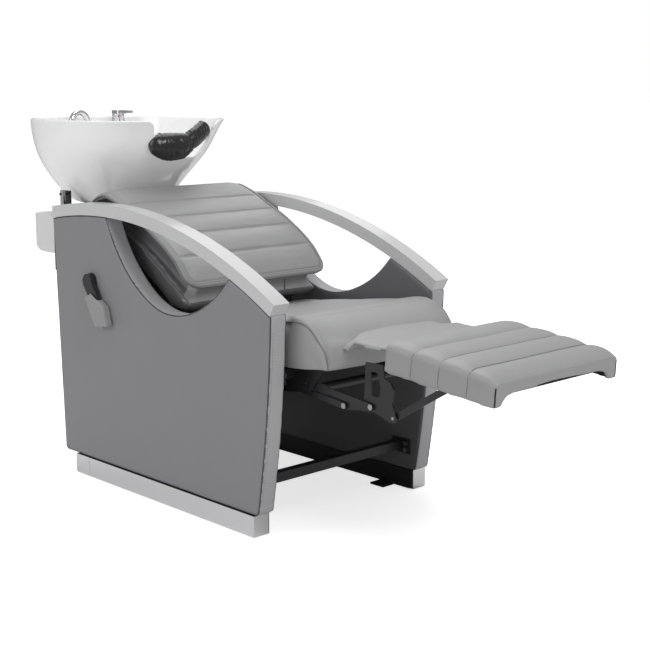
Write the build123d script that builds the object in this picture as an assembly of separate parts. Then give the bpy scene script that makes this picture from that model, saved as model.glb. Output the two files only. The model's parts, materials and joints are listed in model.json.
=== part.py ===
from build123d import *
import math
import os

# Shampoo backwash unit: reclining chair with a leg rest and a tilting ceramic bowl.
# Frame: +Z up, floor at z = 0, origin midway between the four floor fixing holes.
# The sitter faces -Y, so the bowl is at +Y. Every length is in millimetres.

# Overall width and side panels
PANEL_OUT = 310.0
PANEL_IN = 258.0
SKIN = 5.0
LINING = 3.0
BAND = 3.0
PANEL_BOTTOM = 57.0

# Armrest: both edges are arcs round one centre in the side view
ARM_CENTRE = (237.0, -634.0)
ARM_R_TOP = 1419.0
ARM_R_BOTTOM = 1386.0
ARM_IN = 260.0
ARM_REAR = 479.0
ARM_FRONT_ANGLE = 120.1
ARM_SCREW_ANGLES = (82.0, 86.0, 116.5)
ARM_SCREW_R = 4.0

# Plinth and floor fixing
PLINTH_X = (262.0, 312.0)
PLINTH_Y = (-396.0, 390.0)
PLINTH_Z = (3.0, 56.0)
PLINTH_WALL = 2.5
TRIM = 1.5
TRIM_SPLIT = 326.0
LUG_X = 240.0
LUG_Y = 300.0
LUG_HOLE_R = 5.5
LUG_T = 5.0

# Crossbars between the panels
BAR = 25.0
BAR_Z = 124.0
BAR_YS = (-348.0, 330.0)
BAR_END = 252.0
BOLT_HEAD = 5.5
BOLT_REACH = 38.0
PLATE_T = 6.0
VENT_R = 4.0
# Distances of the seat cross tubes ahead of the seat's rear edge
SEAT_BAR_FRONTS = (72.0, 440.0)

# Seat, in a frame tilted back about its rear lower edge
SEAT_TILT = 7.5
SEAT_REAR = (0.0, 20.0, 360.0)
SEAT_HALF = 235.0
SEAT_LENGTH = 607.0
SEAT_THICK = 122.0
RAIL = 25.0
RAIL_X = (204.0, 229.0)
RAIL_U = 2.0
BOARD_T = 10.0

# Leg rest pad, in a frame at its rear top edge
LEG_REAR_TOP = (0.0, -752.0, 525.0)
LEG_SLOPE = 5.3
LEG_LENGTH = 326.0
LEG_HALF = 220.0
LEG_DEPTH = 62.0
LEG_FOAM = 30.0
LEG_BOARD_T = 12.0
BOARD_BOLTS = (60.0, 225.0)
BOLT_X = 164.0

# Leg rest linkage pivots in the side view (y, z)
PIVOT_A = (-470.0, 388.0)
PIVOT_B = (-381.0, 375.5)
PIVOT_E1 = (-684.0, 366.0)
PIVOT_E2 = (-595.0, 353.5)
PIVOT_D = (-750.0, 350.0)
PIVOT_C = (-925.0, 455.0)
LINK_T = 4.0
PLATE_X = 200.0
LINK_X = 194.0
SADDLE_X = 188.0
LIFT_X = 182.0
BRACKET_X = 176.0
PIN_R = 4.0
PIN_GAP = 0.05
LINK_W = 16.0
TORQUE_R = 11.0

# Flap between the seat and the leg rest
FLAP_HINGE = (-592.0, 497.0)
FLAP_T = 15.0
FLAP_HALF = 195.0
FLAP_LENGTH = 154.0

# Release lever on the sitter's right panel
LEVER_PIVOT = (287.0, 570.0)
LEVER_SHAFT_R = 6.0

# Back
BACK_PIVOT = (46.0, 440.0)
BACK_HALF = 232.0
PAD_HALF = 248.0
BACK_PIN_R = 6.0
# Side view arcs of the overlay pad, (y, z)
PAD_TOP = [(-66, 582), (60, 706), (250, 793)]
PAD_UNDER = [(-47, 571), (72, 687), (257, 772)]

# Bowl
RIM_Z = 1005.0
BOWL_A = 255.0
BOWL_B = 320.0
BOWL_Y = 535.0
WALL = 13.0
SUPER = 2.35
DRAIN = (0.0, 592.0)
LEDGE_Z = 955.0
LEDGE_Y = 722.0
NOTCH_Z = 900.0
NOTCH_HALF = 104.0
# (height, scale of the rim outline, rearward shift of its centre, roundness of the front half)
BOWL_RINGS = [
    (751.0, 0.40, 57.0, 2.35),
    (762.0, 0.50, 58.0, 2.35),
    (813.0, 0.663, 61.0, 2.2),
    (870.0, 0.826, 39.0, 1.85),
    (960.0, 0.972, 9.0, 1.85),
    (RIM_Z, 1.0, 0.0, 2.15),
]
TILT_AXIS = (600.0, 785.0)
POST_X = 196.0
POST_R = 8.0
TILT_PIN_R = 4.0
TAP = (125.0, 768.0)
TAP_TOP = 998.0
SHOWER = (30.0, 800.0)

# Rear housing
HOUSING_HALF = 212.0
HOUSING_Y = (491.0, 775.0)
HOUSING_Z = (602.0, 718.0)
SHELL = 3.5
COLUMN_HALF = 165.0
COLUMN_REAR = 602.0

# Rear frame, valves and waste hose
REAR_PLATE_Y = (483.0, 489.0)
REAR_ARM_Z = (640.0, 670.0)
REAR_BOLTS = [(284.0, 600.0), (284.0, 690.0)]
VALVE_X = 95.0
VALVE_Y = 525.0
VALVE_STUB_R = 10.48
WASTE_R = 22.0
WASTE_Y = 527.0
SPIGOT_R = 20.0
SPIGOT_Z = (66.0, 106.0)


def box(x0, x1, y0, y1, z0, z1):
    centre = ((x0 + x1) / 2, (y0 + y1) / 2, (z0 + z1) / 2)
    return Pos(*centre) * Box(abs(x1 - x0), abs(y1 - y0), abs(z1 - z0))


def side_prism(points, x0, x1):
    """A closed polygon of (y, z) points, extruded from x0 to x1."""
    face = Plane.YZ.offset(x0) * make_face(Polyline(*points, close=True))
    return extrude(face, x1 - x0)


def side_face_prism(edges, x0, x1):
    """Edges drawn in the (y, z) plane, closed and extruded from x0 to x1."""
    face = Plane.YZ.offset(x0) * make_face(edges)
    return extrude(face, x1 - x0)


def rod_x(point, radius, x0, x1):
    """A round bar along X through the side view point (y, z)."""
    middle = Pos((x0 + x1) / 2, point[0], point[1])
    return middle * Rot(0, 90, 0) * Cylinder(radius, abs(x1 - x0))


def rod_z(x, y, radius, z0, z1):
    return Pos(x, y, (z0 + z1) / 2) * Cylinder(radius, z1 - z0)


def rod_y(x, z, radius, y0, y1):
    return Pos(x, (y0 + y1) / 2, z) * Rot(90, 0, 0) * Cylinder(radius, y1 - y0)


def both(part):
    """The part and its mirror image in the middle plane."""
    return [part, mirror(part, Plane.YZ)]


def stadium(p, q, width, x0, x1):
    """A flat link with round ends from p to q, both (y, z), between x0 and x1."""
    dy = q[0] - p[0]
    dz = q[1] - p[1]
    length = math.hypot(dy, dz)
    angle = math.degrees(math.atan2(dz, dy))
    place = Pos((x0 + x1) / 2, (p[0] + q[0]) / 2, (p[1] + q[1]) / 2) * Rot(angle, 0, 0)
    bar = place * Box(abs(x1 - x0), length, width)
    return bar + rod_x(p, width / 2, x0, x1) + rod_x(q, width / 2, x0, x1)


def hub_holes(part, points, radius, x0, x1):
    for point in points:
        part = part - rod_x(point, radius, x0 - 1, x1 + 1)
    return part


def arm_point(radius, degrees):
    angle = math.radians(degrees)
    return (ARM_CENTRE[0] + radius * math.cos(angle), ARM_CENTRE[1] + radius * math.sin(angle))


def arm_height(radius, y):
    return ARM_CENTRE[1] + math.sqrt(radius ** 2 - (y - ARM_CENTRE[0]) ** 2)


# ---------------------------------------------------------------- base

def plinth_tubes():
    outer = box(*PLINTH_X, *PLINTH_Y, *PLINTH_Z)
    wall = PLINTH_WALL
    inner = box(PLINTH_X[0] + wall, PLINTH_X[1] - wall, PLINTH_Y[0] + wall, PLINTH_Y[1] - wall,
                PLINTH_Z[0] + wall, PLINTH_Z[1] - wall)
    slot = box(PLINTH_X[0] + 15, PLINTH_X[1] - 15, PLINTH_Y[1] - 10, PLINTH_Y[1] + 10, 18, 40)
    return both(outer - inner - slot)


def plinth_trims():
    """Bright covers: a long one round the front of each plinth and a short one at its rear."""
    x0, x1 = PLINTH_X
    top = PLINTH_Z[1]
    front = box(x1, x1 + TRIM, PLINTH_Y[0] - TRIM, TRIM_SPLIT - 1, 2, top)
    front += box(x0 + 3, x1, PLINTH_Y[0] - TRIM, PLINTH_Y[0], 2, top)
    rear = box(x1, x1 + TRIM, TRIM_SPLIT, PLINTH_Y[1] + TRIM, 2, top)
    rear += box(x0 + 3, x1, PLINTH_Y[1], PLINTH_Y[1] + TRIM, 2, top)
    return both(front) + both(rear)


def foot_pads():
    pads = []
    for y in (-350, 345):
        pads += both(box(PLINTH_X[0] + 4, PLINTH_X[1] - 4, y - 30, y + 30, 0, PLINTH_Z[0]))
    return pads


def floor_lugs():
    lugs = []
    for y in (-LUG_Y, LUG_Y):
        lug = box(LUG_X - 20, PLINTH_X[0], y - 25, y + 25, 0, LUG_T)
        lugs += both(lug - rod_z(LUG_X, y, LUG_HOLE_R, -1, LUG_T + 1))
    return lugs


def crossbar_yz(index):
    return (BAR_YS[index], BAR_Z)


def crossbar(index):
    y, z = crossbar_yz(index)
    half = BAR / 2
    wall = 2.0
    tube = box(-BAR_END, BAR_END, y - half, y + half, z - half, z + half)
    tube -= box(-BAR_END, BAR_END, y - half + wall, y + half - wall, z - half + wall, z + half - wall)
    tube -= rod_z(0, y, VENT_R, z - half - 1, z)
    for side in (-1, 1):
        plate = box(side * BAR_END, side * (BAR_END + PLATE_T), y - 45, y + 20, z - 20, z + 20)
        for spot in plate_bolt_spots(index):
            plate -= rod_x(spot, 4.2, side * (BAR_END - 1), side * (PANEL_IN + 1))
        tube += plate
    return tube


def crossbars():
    return [crossbar(0), crossbar(1)]


def plate_bolt_spots(index):
    y, z = crossbar_yz(index)
    return [(y - 32, z + 9), (y - 32, z - 9)]


def seat_bar(front):
    """A cross tube under the seat rails, square to the tilted seat."""
    half = RAIL / 2
    bar = box(-BAR_END, BAR_END, -front - half, -front + half, RAIL_U - RAIL, RAIL_U)
    wall = 2.0
    bar -= box(-BAR_END, BAR_END, -front - half + wall, -front + half - wall,
               RAIL_U - RAIL + wall, RAIL_U - wall)
    bar -= rod_z(0, -front, VENT_R, RAIL_U - RAIL - 1, RAIL_U - half)
    for side in (-1, 1):
        plate = box(side * BAR_END, side * PANEL_IN, -front - 32, -front + 32, -32, RAIL_U)
        for offset in (-24, 24):
            plate -= rod_x((-front + offset, -11), 4.2, side * (BAR_END - 1), side * (PANEL_IN + 1))
        bar += plate
    return bar


def seat_crossbars():
    return [seat_frame_place(seat_bar(front)) for front in SEAT_BAR_FRONTS]


def bolt(side, y, z):
    """A hexagon head bolt through a 6 mm end plate into the panel."""
    head_start = BAR_END - BOLT_HEAD if side > 0 else -BAR_END
    head = Pos(head_start, y, z) * Rot(0, 90, 0) * extrude(RegularPolygon(6.5, 6), BOLT_HEAD)
    shank = rod_x((y, z), 4.0, side * BAR_END, side * (PANEL_IN + BOLT_REACH))
    return head + shank


def frame_bolts():
    """Bolts of the crossbar end plates and of the rear frame."""
    bolts = []
    for x, z in REAR_BOLTS:
        head = rod_y(x, z, 7.0, REAR_PLATE_Y[1], REAR_PLATE_Y[1] + 5)
        bolts += both(head + rod_y(x, z, 4.0, REAR_PLATE_Y[0], REAR_PLATE_Y[1]))
    for side in (-1, 1):
        for index in (0, 1):
            for spot in plate_bolt_spots(index):
                bolts.append(bolt(side, *spot))
        for front in SEAT_BAR_FRONTS:
            for offset in (-24, 24):
                bolts.append(bolt(side, *seat_point(front - offset, -11)))
    return bolts


# ---------------------------------------------------------------- side panels

def panel_outline(inset):
    """The panel's side view as edges, drawn inset from its outer edge."""
    top_r = ARM_R_BOTTOM - inset
    rear_top = (ARM_REAR - 1.5 - inset, arm_height(top_r, ARM_REAR - 1.5 - inset))
    rear_low = (452.0 - inset, PANEL_BOTTOM + 14)
    low_rear = (452.0 - 14, PANEL_BOTTOM + inset)
    low_front = (-412.0 + 14, PANEL_BOTTOM + inset)
    front_low = (-412.5 + inset, PANEL_BOTTOM + 14)
    front_mid = (-446.0 + inset, 320.0)
    horn_y = -462.0 + inset
    horn = (horn_y, arm_height(top_r, horn_y))
    notch_front_y = -306.0 - inset
    notch_front = (notch_front_y, arm_height(top_r, notch_front_y))
    notch_rear_y = 214.0 + inset
    notch_rear = (notch_rear_y, arm_height(top_r, notch_rear_y))
    notch = Spline(
        notch_rear,
        (165.0 + inset, 664.0 - inset * 0.5),
        (78.0 + inset * 0.7, 575.0 - inset * 0.8),
        (-52.0, 521.5 - inset),
        (-168.0 - inset * 0.4, 541.0 - inset),
        notch_front,
    )
    mid_rear_y = (notch_rear_y + rear_top[0]) / 2
    mid_horn_y = (horn_y + notch_front_y) / 2
    return [
        ThreePointArc(rear_top, (mid_rear_y, arm_height(top_r, mid_rear_y)), notch_rear),
        notch,
        ThreePointArc(notch_front, (mid_horn_y, arm_height(top_r, mid_horn_y)), horn),
        ThreePointArc(horn, front_mid, front_low),
        ThreePointArc(front_low, (-412.5 + inset + 4, PANEL_BOTTOM + inset + 4), low_front),
        Line(low_front, low_rear),
        ThreePointArc(low_rear, (452.0 - inset - 4, PANEL_BOTTOM + inset + 4), rear_low),
        Line(rear_low, rear_top),
    ]


def with_lever_hole(left):
    """Both sides; the lever shaft's hole is in the sitter's right panel, at -X."""
    right = mirror(left, Plane.YZ)
    right -= rod_x(LEVER_PIVOT, LEVER_SHAFT_R + 0.6, -PANEL_OUT - 5, -PANEL_IN + 5)
    return [left, right]


def panel_bolt_spots():
    spots = []
    for index in (0, 1):
        spots += plate_bolt_spots(index)
    for front in SEAT_BAR_FRONTS:
        for offset in (-24, 24):
            spots.append(seat_point(front - offset, -11))
    return spots


def panel_cores():
    core = side_face_prism(panel_outline(BAND), PANEL_IN + LINING, PANEL_OUT - SKIN)
    for spot in panel_bolt_spots():
        core -= rod_x(spot, 4.0, PANEL_IN, PANEL_IN + BOLT_REACH)
    for angle in ARM_SCREW_ANGLES:
        core -= arm_screw(angle)
    return with_lever_hole(core)


def panel_skins():
    return with_lever_hole(side_face_prism(panel_outline(0), PANEL_OUT - SKIN, PANEL_OUT))


def panel_linings():
    lining = side_face_prism(panel_outline(0), PANEL_IN, PANEL_IN + LINING)
    for spot in panel_bolt_spots():
        lining -= rod_x(spot, 4.0, PANEL_IN - 1, PANEL_IN + LINING + 1)
    return with_lever_hole(lining)


def panel_edge_bands():
    outer = side_face_prism(panel_outline(0), PANEL_IN + LINING, PANEL_OUT - SKIN)
    inner = side_face_prism(panel_outline(BAND), PANEL_IN + LINING - 1, PANEL_OUT - SKIN + 1)
    band = outer - inner
    for angle in ARM_SCREW_ANGLES:
        band -= arm_screw(angle)
    return both(band)


# ---------------------------------------------------------------- armrests

def armrest():
    rear_angle = math.degrees(math.acos((ARM_REAR - ARM_CENTRE[0]) / ARM_R_TOP))
    middle = (rear_angle + ARM_FRONT_ANGLE) / 2
    rear_top = (ARM_REAR, arm_height(ARM_R_TOP, ARM_REAR))
    rear_bottom = (ARM_REAR, arm_height(ARM_R_BOTTOM, ARM_REAR))
    front_top = arm_point(ARM_R_TOP, ARM_FRONT_ANGLE)
    front_bottom = arm_point(ARM_R_BOTTOM, ARM_FRONT_ANGLE)
    edges = [
        ThreePointArc(rear_top, arm_point(ARM_R_TOP, middle), front_top),
        Line(front_top, front_bottom),
        ThreePointArc(front_bottom, arm_point(ARM_R_BOTTOM, middle), rear_bottom),
        Line(rear_bottom, rear_top),
    ]
    return side_face_prism(edges, ARM_IN, PANEL_OUT)


def arm_screw(angle):
    """A wood screw's shank, up from the panel into the armrest."""
    low = arm_point(ARM_R_BOTTOM - 45, angle)
    high = arm_point(ARM_R_BOTTOM + 18, angle)
    middle = ((low[0] + high[0]) / 2, (low[1] + high[1]) / 2)
    x = (PANEL_IN + PANEL_OUT) / 2
    return Pos(x, *middle) * Rot(angle - 90, 0, 0) * Cylinder(ARM_SCREW_R, 63)


def armrests():
    arm = armrest()
    for angle in ARM_SCREW_ANGLES:
        arm -= arm_screw(angle)
    return both(arm)


def armrest_screws():
    screws = []
    for angle in ARM_SCREW_ANGLES:
        screws += both(arm_screw(angle))
    return screws


# ---------------------------------------------------------------- seat

def seat_frame_place(part):
    """Puts a part drawn with -Y forward and +Z up into the tilted seat's place."""
    return Pos(*SEAT_REAR) * Rot(-SEAT_TILT, 0, 0) * part


def seat_point(forward, up):
    """The (y, z) of a point measured forward and up in the tilted seat."""
    tilt = math.radians(SEAT_TILT)
    y = SEAT_REAR[1] - forward * math.cos(tilt) + up * math.sin(tilt)
    z = SEAT_REAR[2] + forward * math.sin(tilt) + up * math.cos(tilt)
    return (y, z)


def seat_frame():
    top = RAIL_U + RAIL
    frame = box(-RAIL_X[1], RAIL_X[1], -585, -585 + RAIL, RAIL_U, top)
    frame += box(-RAIL_X[1], RAIL_X[1], -15 - RAIL, -15, RAIL_U, top)
    for side in (-1, 1):
        frame += box(side * RAIL_X[0], side * RAIL_X[1], -585, -15, RAIL_U, top)
    return [seat_frame_place(frame)]


def seat_board():
    low = RAIL_U + RAIL
    return [seat_frame_place(box(-RAIL_X[1], RAIL_X[1], -585, -15, low, low + BOARD_T))]


def seat_cushion():
    edges = [
        Line((0, 6), (0, 92)),
        ThreePointArc((0, 92), (-22, 114), (-60, SEAT_THICK)),
        Line((-60, SEAT_THICK), (-470, SEAT_THICK)),
        ThreePointArc((-470, SEAT_THICK), (-562, 99), (-597, 46)),
        Line((-597, 46), (-SEAT_LENGTH, 6)),
        Line((-SEAT_LENGTH, 6), (0, 6)),
    ]
    pad = side_face_prism(edges, -SEAT_HALF, SEAT_HALF)
    recess = box(-RAIL_X[1] - 2, RAIL_X[1] + 2, -587, -13, 0, RAIL_U + RAIL + BOARD_T)
    return [seat_frame_place(pad - recess)]


# ---------------------------------------------------------------- leg rest linkage

def layer(x):
    return (x, x + LINK_T)


def mechanism_plates():
    outline = [
        seat_point(556, 24), seat_point(80, 24), seat_point(80, -2), (-330, 352),
        (-395, 356), (-482, 368), (-502, 392), seat_point(556, -2),
    ]
    x0, x1 = layer(PLATE_X)
    plate = side_prism(outline, x0, x1)
    gap = RAIL / 2 + 1
    for front in SEAT_BAR_FRONTS:
        slot = box(x0 - 1, x1 + 1, -front - gap, -front + gap, RAIL_U - RAIL - 1, RAIL_U + 1)
        plate -= seat_frame_place(slot)
    return both(hub_holes(plate, (PIVOT_A, PIVOT_B), PIN_R, x0, x1))


def rivet(point, x_in, x_out, head_r=8.0):
    """A pivot pin with a button head at each end, through two plates."""
    pin = rod_x(point, PIN_R, x_in - 1.0, x_out)
    head = rod_x(point, head_r, x_in - 4.0, x_in - 1.0)
    return pin + head


def frame_rivets():
    rivets = []
    for point in (PIVOT_A, PIVOT_B):
        rivets += both(rivet(point, LINK_X, PLATE_X + LINK_T))
    return rivets


def link(part, running, fixed, x):
    """Bores a link: a running hole on its neighbour's pin and a tight one for its own."""
    x0, x1 = layer(x)
    part = hub_holes(part, running, PIN_R + PIN_GAP, x0, x1)
    return hub_holes(part, fixed, PIN_R, x0, x1)


def point_on_drive(fraction):
    return (PIVOT_A[0] + fraction * (PIVOT_E1[0] - PIVOT_A[0]),
            PIVOT_A[1] + fraction * (PIVOT_E1[1] - PIVOT_A[1]))


TORQUE_CENTRE = point_on_drive(0.20)


def drive_links():
    """The long links, widened where the torque tube joins the two sides."""
    bar = stadium(PIVOT_A, PIVOT_E1, LINK_W, *layer(LINK_X))
    bar += stadium(TORQUE_CENTRE, point_on_drive(0.30), LINK_W + 8, *layer(LINK_X))
    return both(link(bar, [PIVOT_A], [PIVOT_E1], LINK_X))


def torque_tube():
    tube = rod_x(TORQUE_CENTRE, TORQUE_R, -LINK_X, LINK_X)
    return [tube - rod_x(TORQUE_CENTRE, TORQUE_R - 2, -LINK_X - 1, LINK_X + 1)]


def link_rivet(point, x_in, x_out):
    """A pin between two moving layers, with a head on the outer side."""
    pin = rod_x(point, PIN_R, x_in - 1.5, x_out + LINK_T)
    return pin + rod_x(point, 7.0, x_out + LINK_T, x_out + LINK_T + 1.5)


def elbow_rivets():
    return both(link_rivet(PIVOT_E1, SADDLE_X, LINK_X))


def control_links():
    bar = stadium(PIVOT_B, PIVOT_E2, LINK_W, *layer(LINK_X))
    return both(link(bar, [PIVOT_B], [PIVOT_E2], LINK_X))


def control_rivets():
    return both(link_rivet(PIVOT_E2, SADDLE_X, LINK_X))


def saddle_plates():
    x0, x1 = layer(SADDLE_X)
    outline = [
        (-595, 343), (-585, 353), (-594, 364), (-640, 372), (-658, 382), (-662, 470),
        (-718, 470), (-722, 440), (-744, 432), (-752, 418), (-748, 385), (-762, 352),
        (-757, 340), (-742, 338), (-700, 352), (-684, 354), (-640, 350),
    ]
    plate = side_prism(outline, x0, x1)
    window = side_prism([(-682, 392), (-678, 450), (-700, 450), (-712, 412), (-706, 392)], x0 - 1, x1 + 1)
    return both(link(plate - window, [PIVOT_E1, PIVOT_E2], [PIVOT_D], SADDLE_X))


def lift_links():
    bar = stadium(PIVOT_D, PIVOT_C, LINK_W, *layer(LIFT_X))
    return both(link(bar, [PIVOT_D], [PIVOT_C], LIFT_X))


def saddle_rivets():
    pin = rod_x(PIVOT_D, PIN_R, LIFT_X - 2.0, SADDLE_X + LINK_T)
    return both(pin + rod_x(PIVOT_D, 7.0, LIFT_X - 4.0, LIFT_X - 1.0))


def lift_rivets():
    pin = rod_x(PIVOT_C, PIN_R, BRACKET_X - 2.0, LIFT_X + LINK_T)
    return both(pin + rod_x(PIVOT_C, 7.0, LIFT_X + LINK_T, LIFT_X + LINK_T + 2.0))


# ---------------------------------------------------------------- leg rest

def leg_place(part):
    """Puts a part drawn with -Y forward and the pad's top at z = 0 onto the leg rest."""
    return Pos(*LEG_REAR_TOP) * Rot(LEG_SLOPE, 0, 0) * part


def leg_point(forward, up):
    slope = math.radians(LEG_SLOPE)
    y = LEG_REAR_TOP[1] - forward * math.cos(slope) - up * math.sin(slope)
    z = LEG_REAR_TOP[2] - forward * math.sin(slope) + up * math.cos(slope)
    return (y, z)


def leg_pad():
    body = box(-LEG_HALF, LEG_HALF, -LEG_LENGTH, 0, -LEG_DEPTH, 0)
    hollow = box(-LEG_HALF + 12, LEG_HALF - 12, -LEG_LENGTH + 14, -12, -LEG_DEPTH - 1, -LEG_FOAM)
    low = -LEG_DEPTH - 1
    arch = Plane.XZ * make_face([
        Spline((-196, low), (-182, -44), (-140, -36), (0, -31), (140, -36), (182, -44), (196, low)),
        Line((196, low), (-196, low)),
    ])
    arch_cut = Pos(0, -LEG_LENGTH + 16, 0) * extrude(arch, 20)
    rear_cut = box(-LEG_HALF + 12, LEG_HALF - 12, -20, 1, -LEG_DEPTH - 1, -LEG_FOAM)
    side_edges = (body - hollow).edges().filter_by(Axis.Y).group_by(Axis.Z)[-1]
    return [leg_place(fillet(side_edges, 14) - arch_cut - rear_cut)]


def leg_board():
    low = -LEG_FOAM - LEG_BOARD_T
    board = box(-LEG_HALF + 14, LEG_HALF - 14, -LEG_LENGTH + 18, -4, low, -LEG_FOAM)
    for spot in BOARD_BOLTS:
        for x in (-BOLT_X, BOLT_X):
            board -= rod_z(x, -spot, 3.0, low - 1, -LEG_FOAM - 4)
    return [leg_place(board)]


def leg_brackets():
    """Angle plates under the board: a flange on the board and a web round pivot C."""
    x0, x1 = layer(BRACKET_X)
    under = -LEG_FOAM - LEG_BOARD_T
    outline = [
        leg_point(30, under), leg_point(250, under), leg_point(250, under - 8),
        leg_point(192, under - 19), leg_point(166, under - 19), leg_point(120, under - 12),
        leg_point(30, under - 10),
    ]
    web = side_prism(outline, x0, x1)
    flange = leg_place(box(BRACKET_X - 24, BRACKET_X, -250, -30, under - 3, under))
    for spot in BOARD_BOLTS:
        flange -= leg_place(rod_z(BOLT_X, -spot, 3.2, under - 4, under + 1))
    return both(link(web, [PIVOT_C], [], BRACKET_X) + flange)


def leg_board_bolts():
    under = -LEG_FOAM - LEG_BOARD_T
    bolts = []
    for spot in BOARD_BOLTS:
        head = rod_z(BOLT_X, -spot, 6.0, under - 7, under - 3)
        shank = rod_z(BOLT_X, -spot, 3.0, under - 3, -LEG_FOAM - 4)
        bolts += both(leg_place(head + shank))
    return bolts


def leg_flap():
    y, z = FLAP_HINGE
    flap = box(-FLAP_HALF, FLAP_HALF, y - FLAP_LENGTH, y, z, z + FLAP_T)
    bead = rod_x(FLAP_HINGE, 5.0, -FLAP_HALF + 10, FLAP_HALF - 10)
    return [fillet(flap.edges().filter_by(Axis.X), 6) + bead]


# ---------------------------------------------------------------- release lever

def lever_shaft():
    """The shaft through the panel, with the inner crank that pulls the release cable."""
    y, z = LEVER_PIVOT
    crank = stadium(LEVER_PIVOT, (y - 34, z - 12), 18, -PANEL_IN + 4, -PANEL_IN + 9)
    return [rod_x(LEVER_PIVOT, LEVER_SHAFT_R, -PANEL_OUT - 16, -PANEL_IN + 9) + crank]


def lever_bezel():
    ring = rod_x(LEVER_PIVOT, 23, -PANEL_OUT - 4, -PANEL_OUT)
    return [ring - rod_x(LEVER_PIVOT, LEVER_SHAFT_R + 0.6, -PANEL_OUT - 5, -PANEL_OUT + 1)]


def lever_arm():
    y, z = LEVER_PIVOT
    x0, x1 = -PANEL_OUT - 18, -PANEL_OUT - 5
    arm = rod_x(LEVER_PIVOT, 21, x0, x1)
    arm += side_prism([(y + 10, z + 10), (y + 16, z - 14), (y - 20, z - 62), (y - 52, z - 48),
                       (y - 18, z + 4)],
                      x0, x1)
    return [arm - rod_x(LEVER_PIVOT, LEVER_SHAFT_R, x0 + 2, x1 + 1)]


def lever_sleeve():
    """The padded vinyl sleeve over the lever's paddle."""
    y, z = LEVER_PIVOT
    paddle = [(y + 8, z - 44), (y - 40, z - 122), (y - 98, z - 114), (y - 80, z - 60), (y - 22, z - 30)]
    sleeve = side_prism(paddle, -PANEL_OUT - 24, -PANEL_OUT - 2)
    return [sleeve - lever_arm()[0]]


# ---------------------------------------------------------------- back

def back_cushion():
    """The lower cushion, with a raised middle that carries the overlay pad."""
    middle = side_face_prism([
        ThreePointArc(*PAD_UNDER),
        Line(PAD_UNDER[2], (300, 782)),
        Line((300, 782), (330, 678)),
        ThreePointArc((330, 678), (180, 600), (36, 512)),
        Line((36, 512), (-34, 512)),
        Line((-34, 512), PAD_UNDER[0]),
    ], -BACK_HALF + 28, BACK_HALF - 28)
    edges = [
        Line((-52, 530), (-34, 512)),
        Line((-34, 512), (36, 512)),
        ThreePointArc((36, 512), (180, 600), (330, 678)),
        ThreePointArc((330, 678), (352, 712), (322, 742)),
        ThreePointArc((322, 742), (120, 641), (-52, 530)),
    ]
    return [middle + side_face_prism(edges, -BACK_HALF, BACK_HALF)]


def back_board():
    edges = [
        ThreePointArc((36, 512), (180, 600), (330, 678)),
        Line((330, 678), (336, 666)),
        ThreePointArc((336, 666), (186, 588), (42, 499)),
        Line((42, 499), (36, 512)),
    ]
    return [side_face_prism(edges, -BACK_HALF + 6, BACK_HALF - 6)]


def back_pad():
    """The channelled overlay pad, which rolls over the top of the back."""
    roll = [(308, 809), (350, 800), (383, 768)]
    edges = [
        ThreePointArc(*PAD_TOP),
        ThreePointArc(PAD_TOP[2], (280, 803), roll[0]),
        ThreePointArc(*roll),
        Line(roll[2], (366, 760)),
        ThreePointArc((366, 760), (345, 778), (308, 788)),
        ThreePointArc((308, 788), (282, 781), PAD_UNDER[2]),
        ThreePointArc(*PAD_UNDER[::-1]),
        Line(PAD_UNDER[0], PAD_TOP[0]),
    ]
    return [side_face_prism(edges, -PAD_HALF, PAD_HALF)]


def back_hinge_arms():
    """Steel arms on the back's board, each with its welded pivot pin."""
    outline = [(38, 428), (58, 428), (100, 520), (100, 545), (60, 530), (48, 500), (40, 470)]
    arm = side_prism(outline, 206, 214)
    arm -= side_face_prism([
        ThreePointArc((336, 666), (186, 588), (42, 499)),
        Line((42, 499), (20, 560)),
        Line((20, 560), (336, 700)),
        Line((336, 700), (336, 666)),
    ], 200, 220)
    return both(arm + rod_x(BACK_PIVOT, BACK_PIN_R, 206, 240))


def back_brackets():
    """Fixed hinge plates on the panel linings, each with a bush for the back's pin."""
    y, z = BACK_PIVOT
    plate = box(PANEL_IN - 6, PANEL_IN, y - 35, y + 35, z - 30, z + 30)
    bush = rod_x(BACK_PIVOT, BACK_PIN_R + 6, 220, PANEL_IN - 6)
    return both(plate + bush - rod_x(BACK_PIVOT, BACK_PIN_R + PIN_GAP, 219, 242))


# ---------------------------------------------------------------- rear structure

def rear_frame():
    frame = box(-300, 300, *REAR_PLATE_Y, 580, 704)
    frame -= box(-120, 120, REAR_PLATE_Y[0] - 1, REAR_PLATE_Y[1] + 1, 600, 684)
    for side in (-1, 1):
        for x, z in REAR_BOLTS:
            frame -= rod_y(side * x, z, 4.0, REAR_PLATE_Y[0] - 1, REAR_PLATE_Y[1] + 1)
        frame += box(side * (POST_X - 22), side * (POST_X + 12), REAR_PLATE_Y[1], 625, *REAR_ARM_Z)
        frame -= rod_z(side * POST_X, TILT_AXIS[0], POST_R, REAR_ARM_Z[0] + 4, REAR_ARM_Z[1] + 1)
    return [frame]


def rounded_shell_block(inset):
    """The housing's outer form, drawn smaller by the inset and open to the front."""
    front = HOUSING_Y[0] - (10 if inset else 0)
    block = box(-HOUSING_HALF + inset, HOUSING_HALF - inset, front, HOUSING_Y[1] - inset,
                HOUSING_Z[0] + inset, HOUSING_Z[1] - inset)
    corners = block.edges().filter_by(Axis.Z).group_by(Axis.Y)[-1]
    block = fillet(corners, 60 - inset)
    low_edges = block.faces().sort_by(Axis.Z)[0].edges()
    return fillet(low_edges.filter_by(lambda e: e.center().Y > front + 5), 24 - inset)


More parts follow.
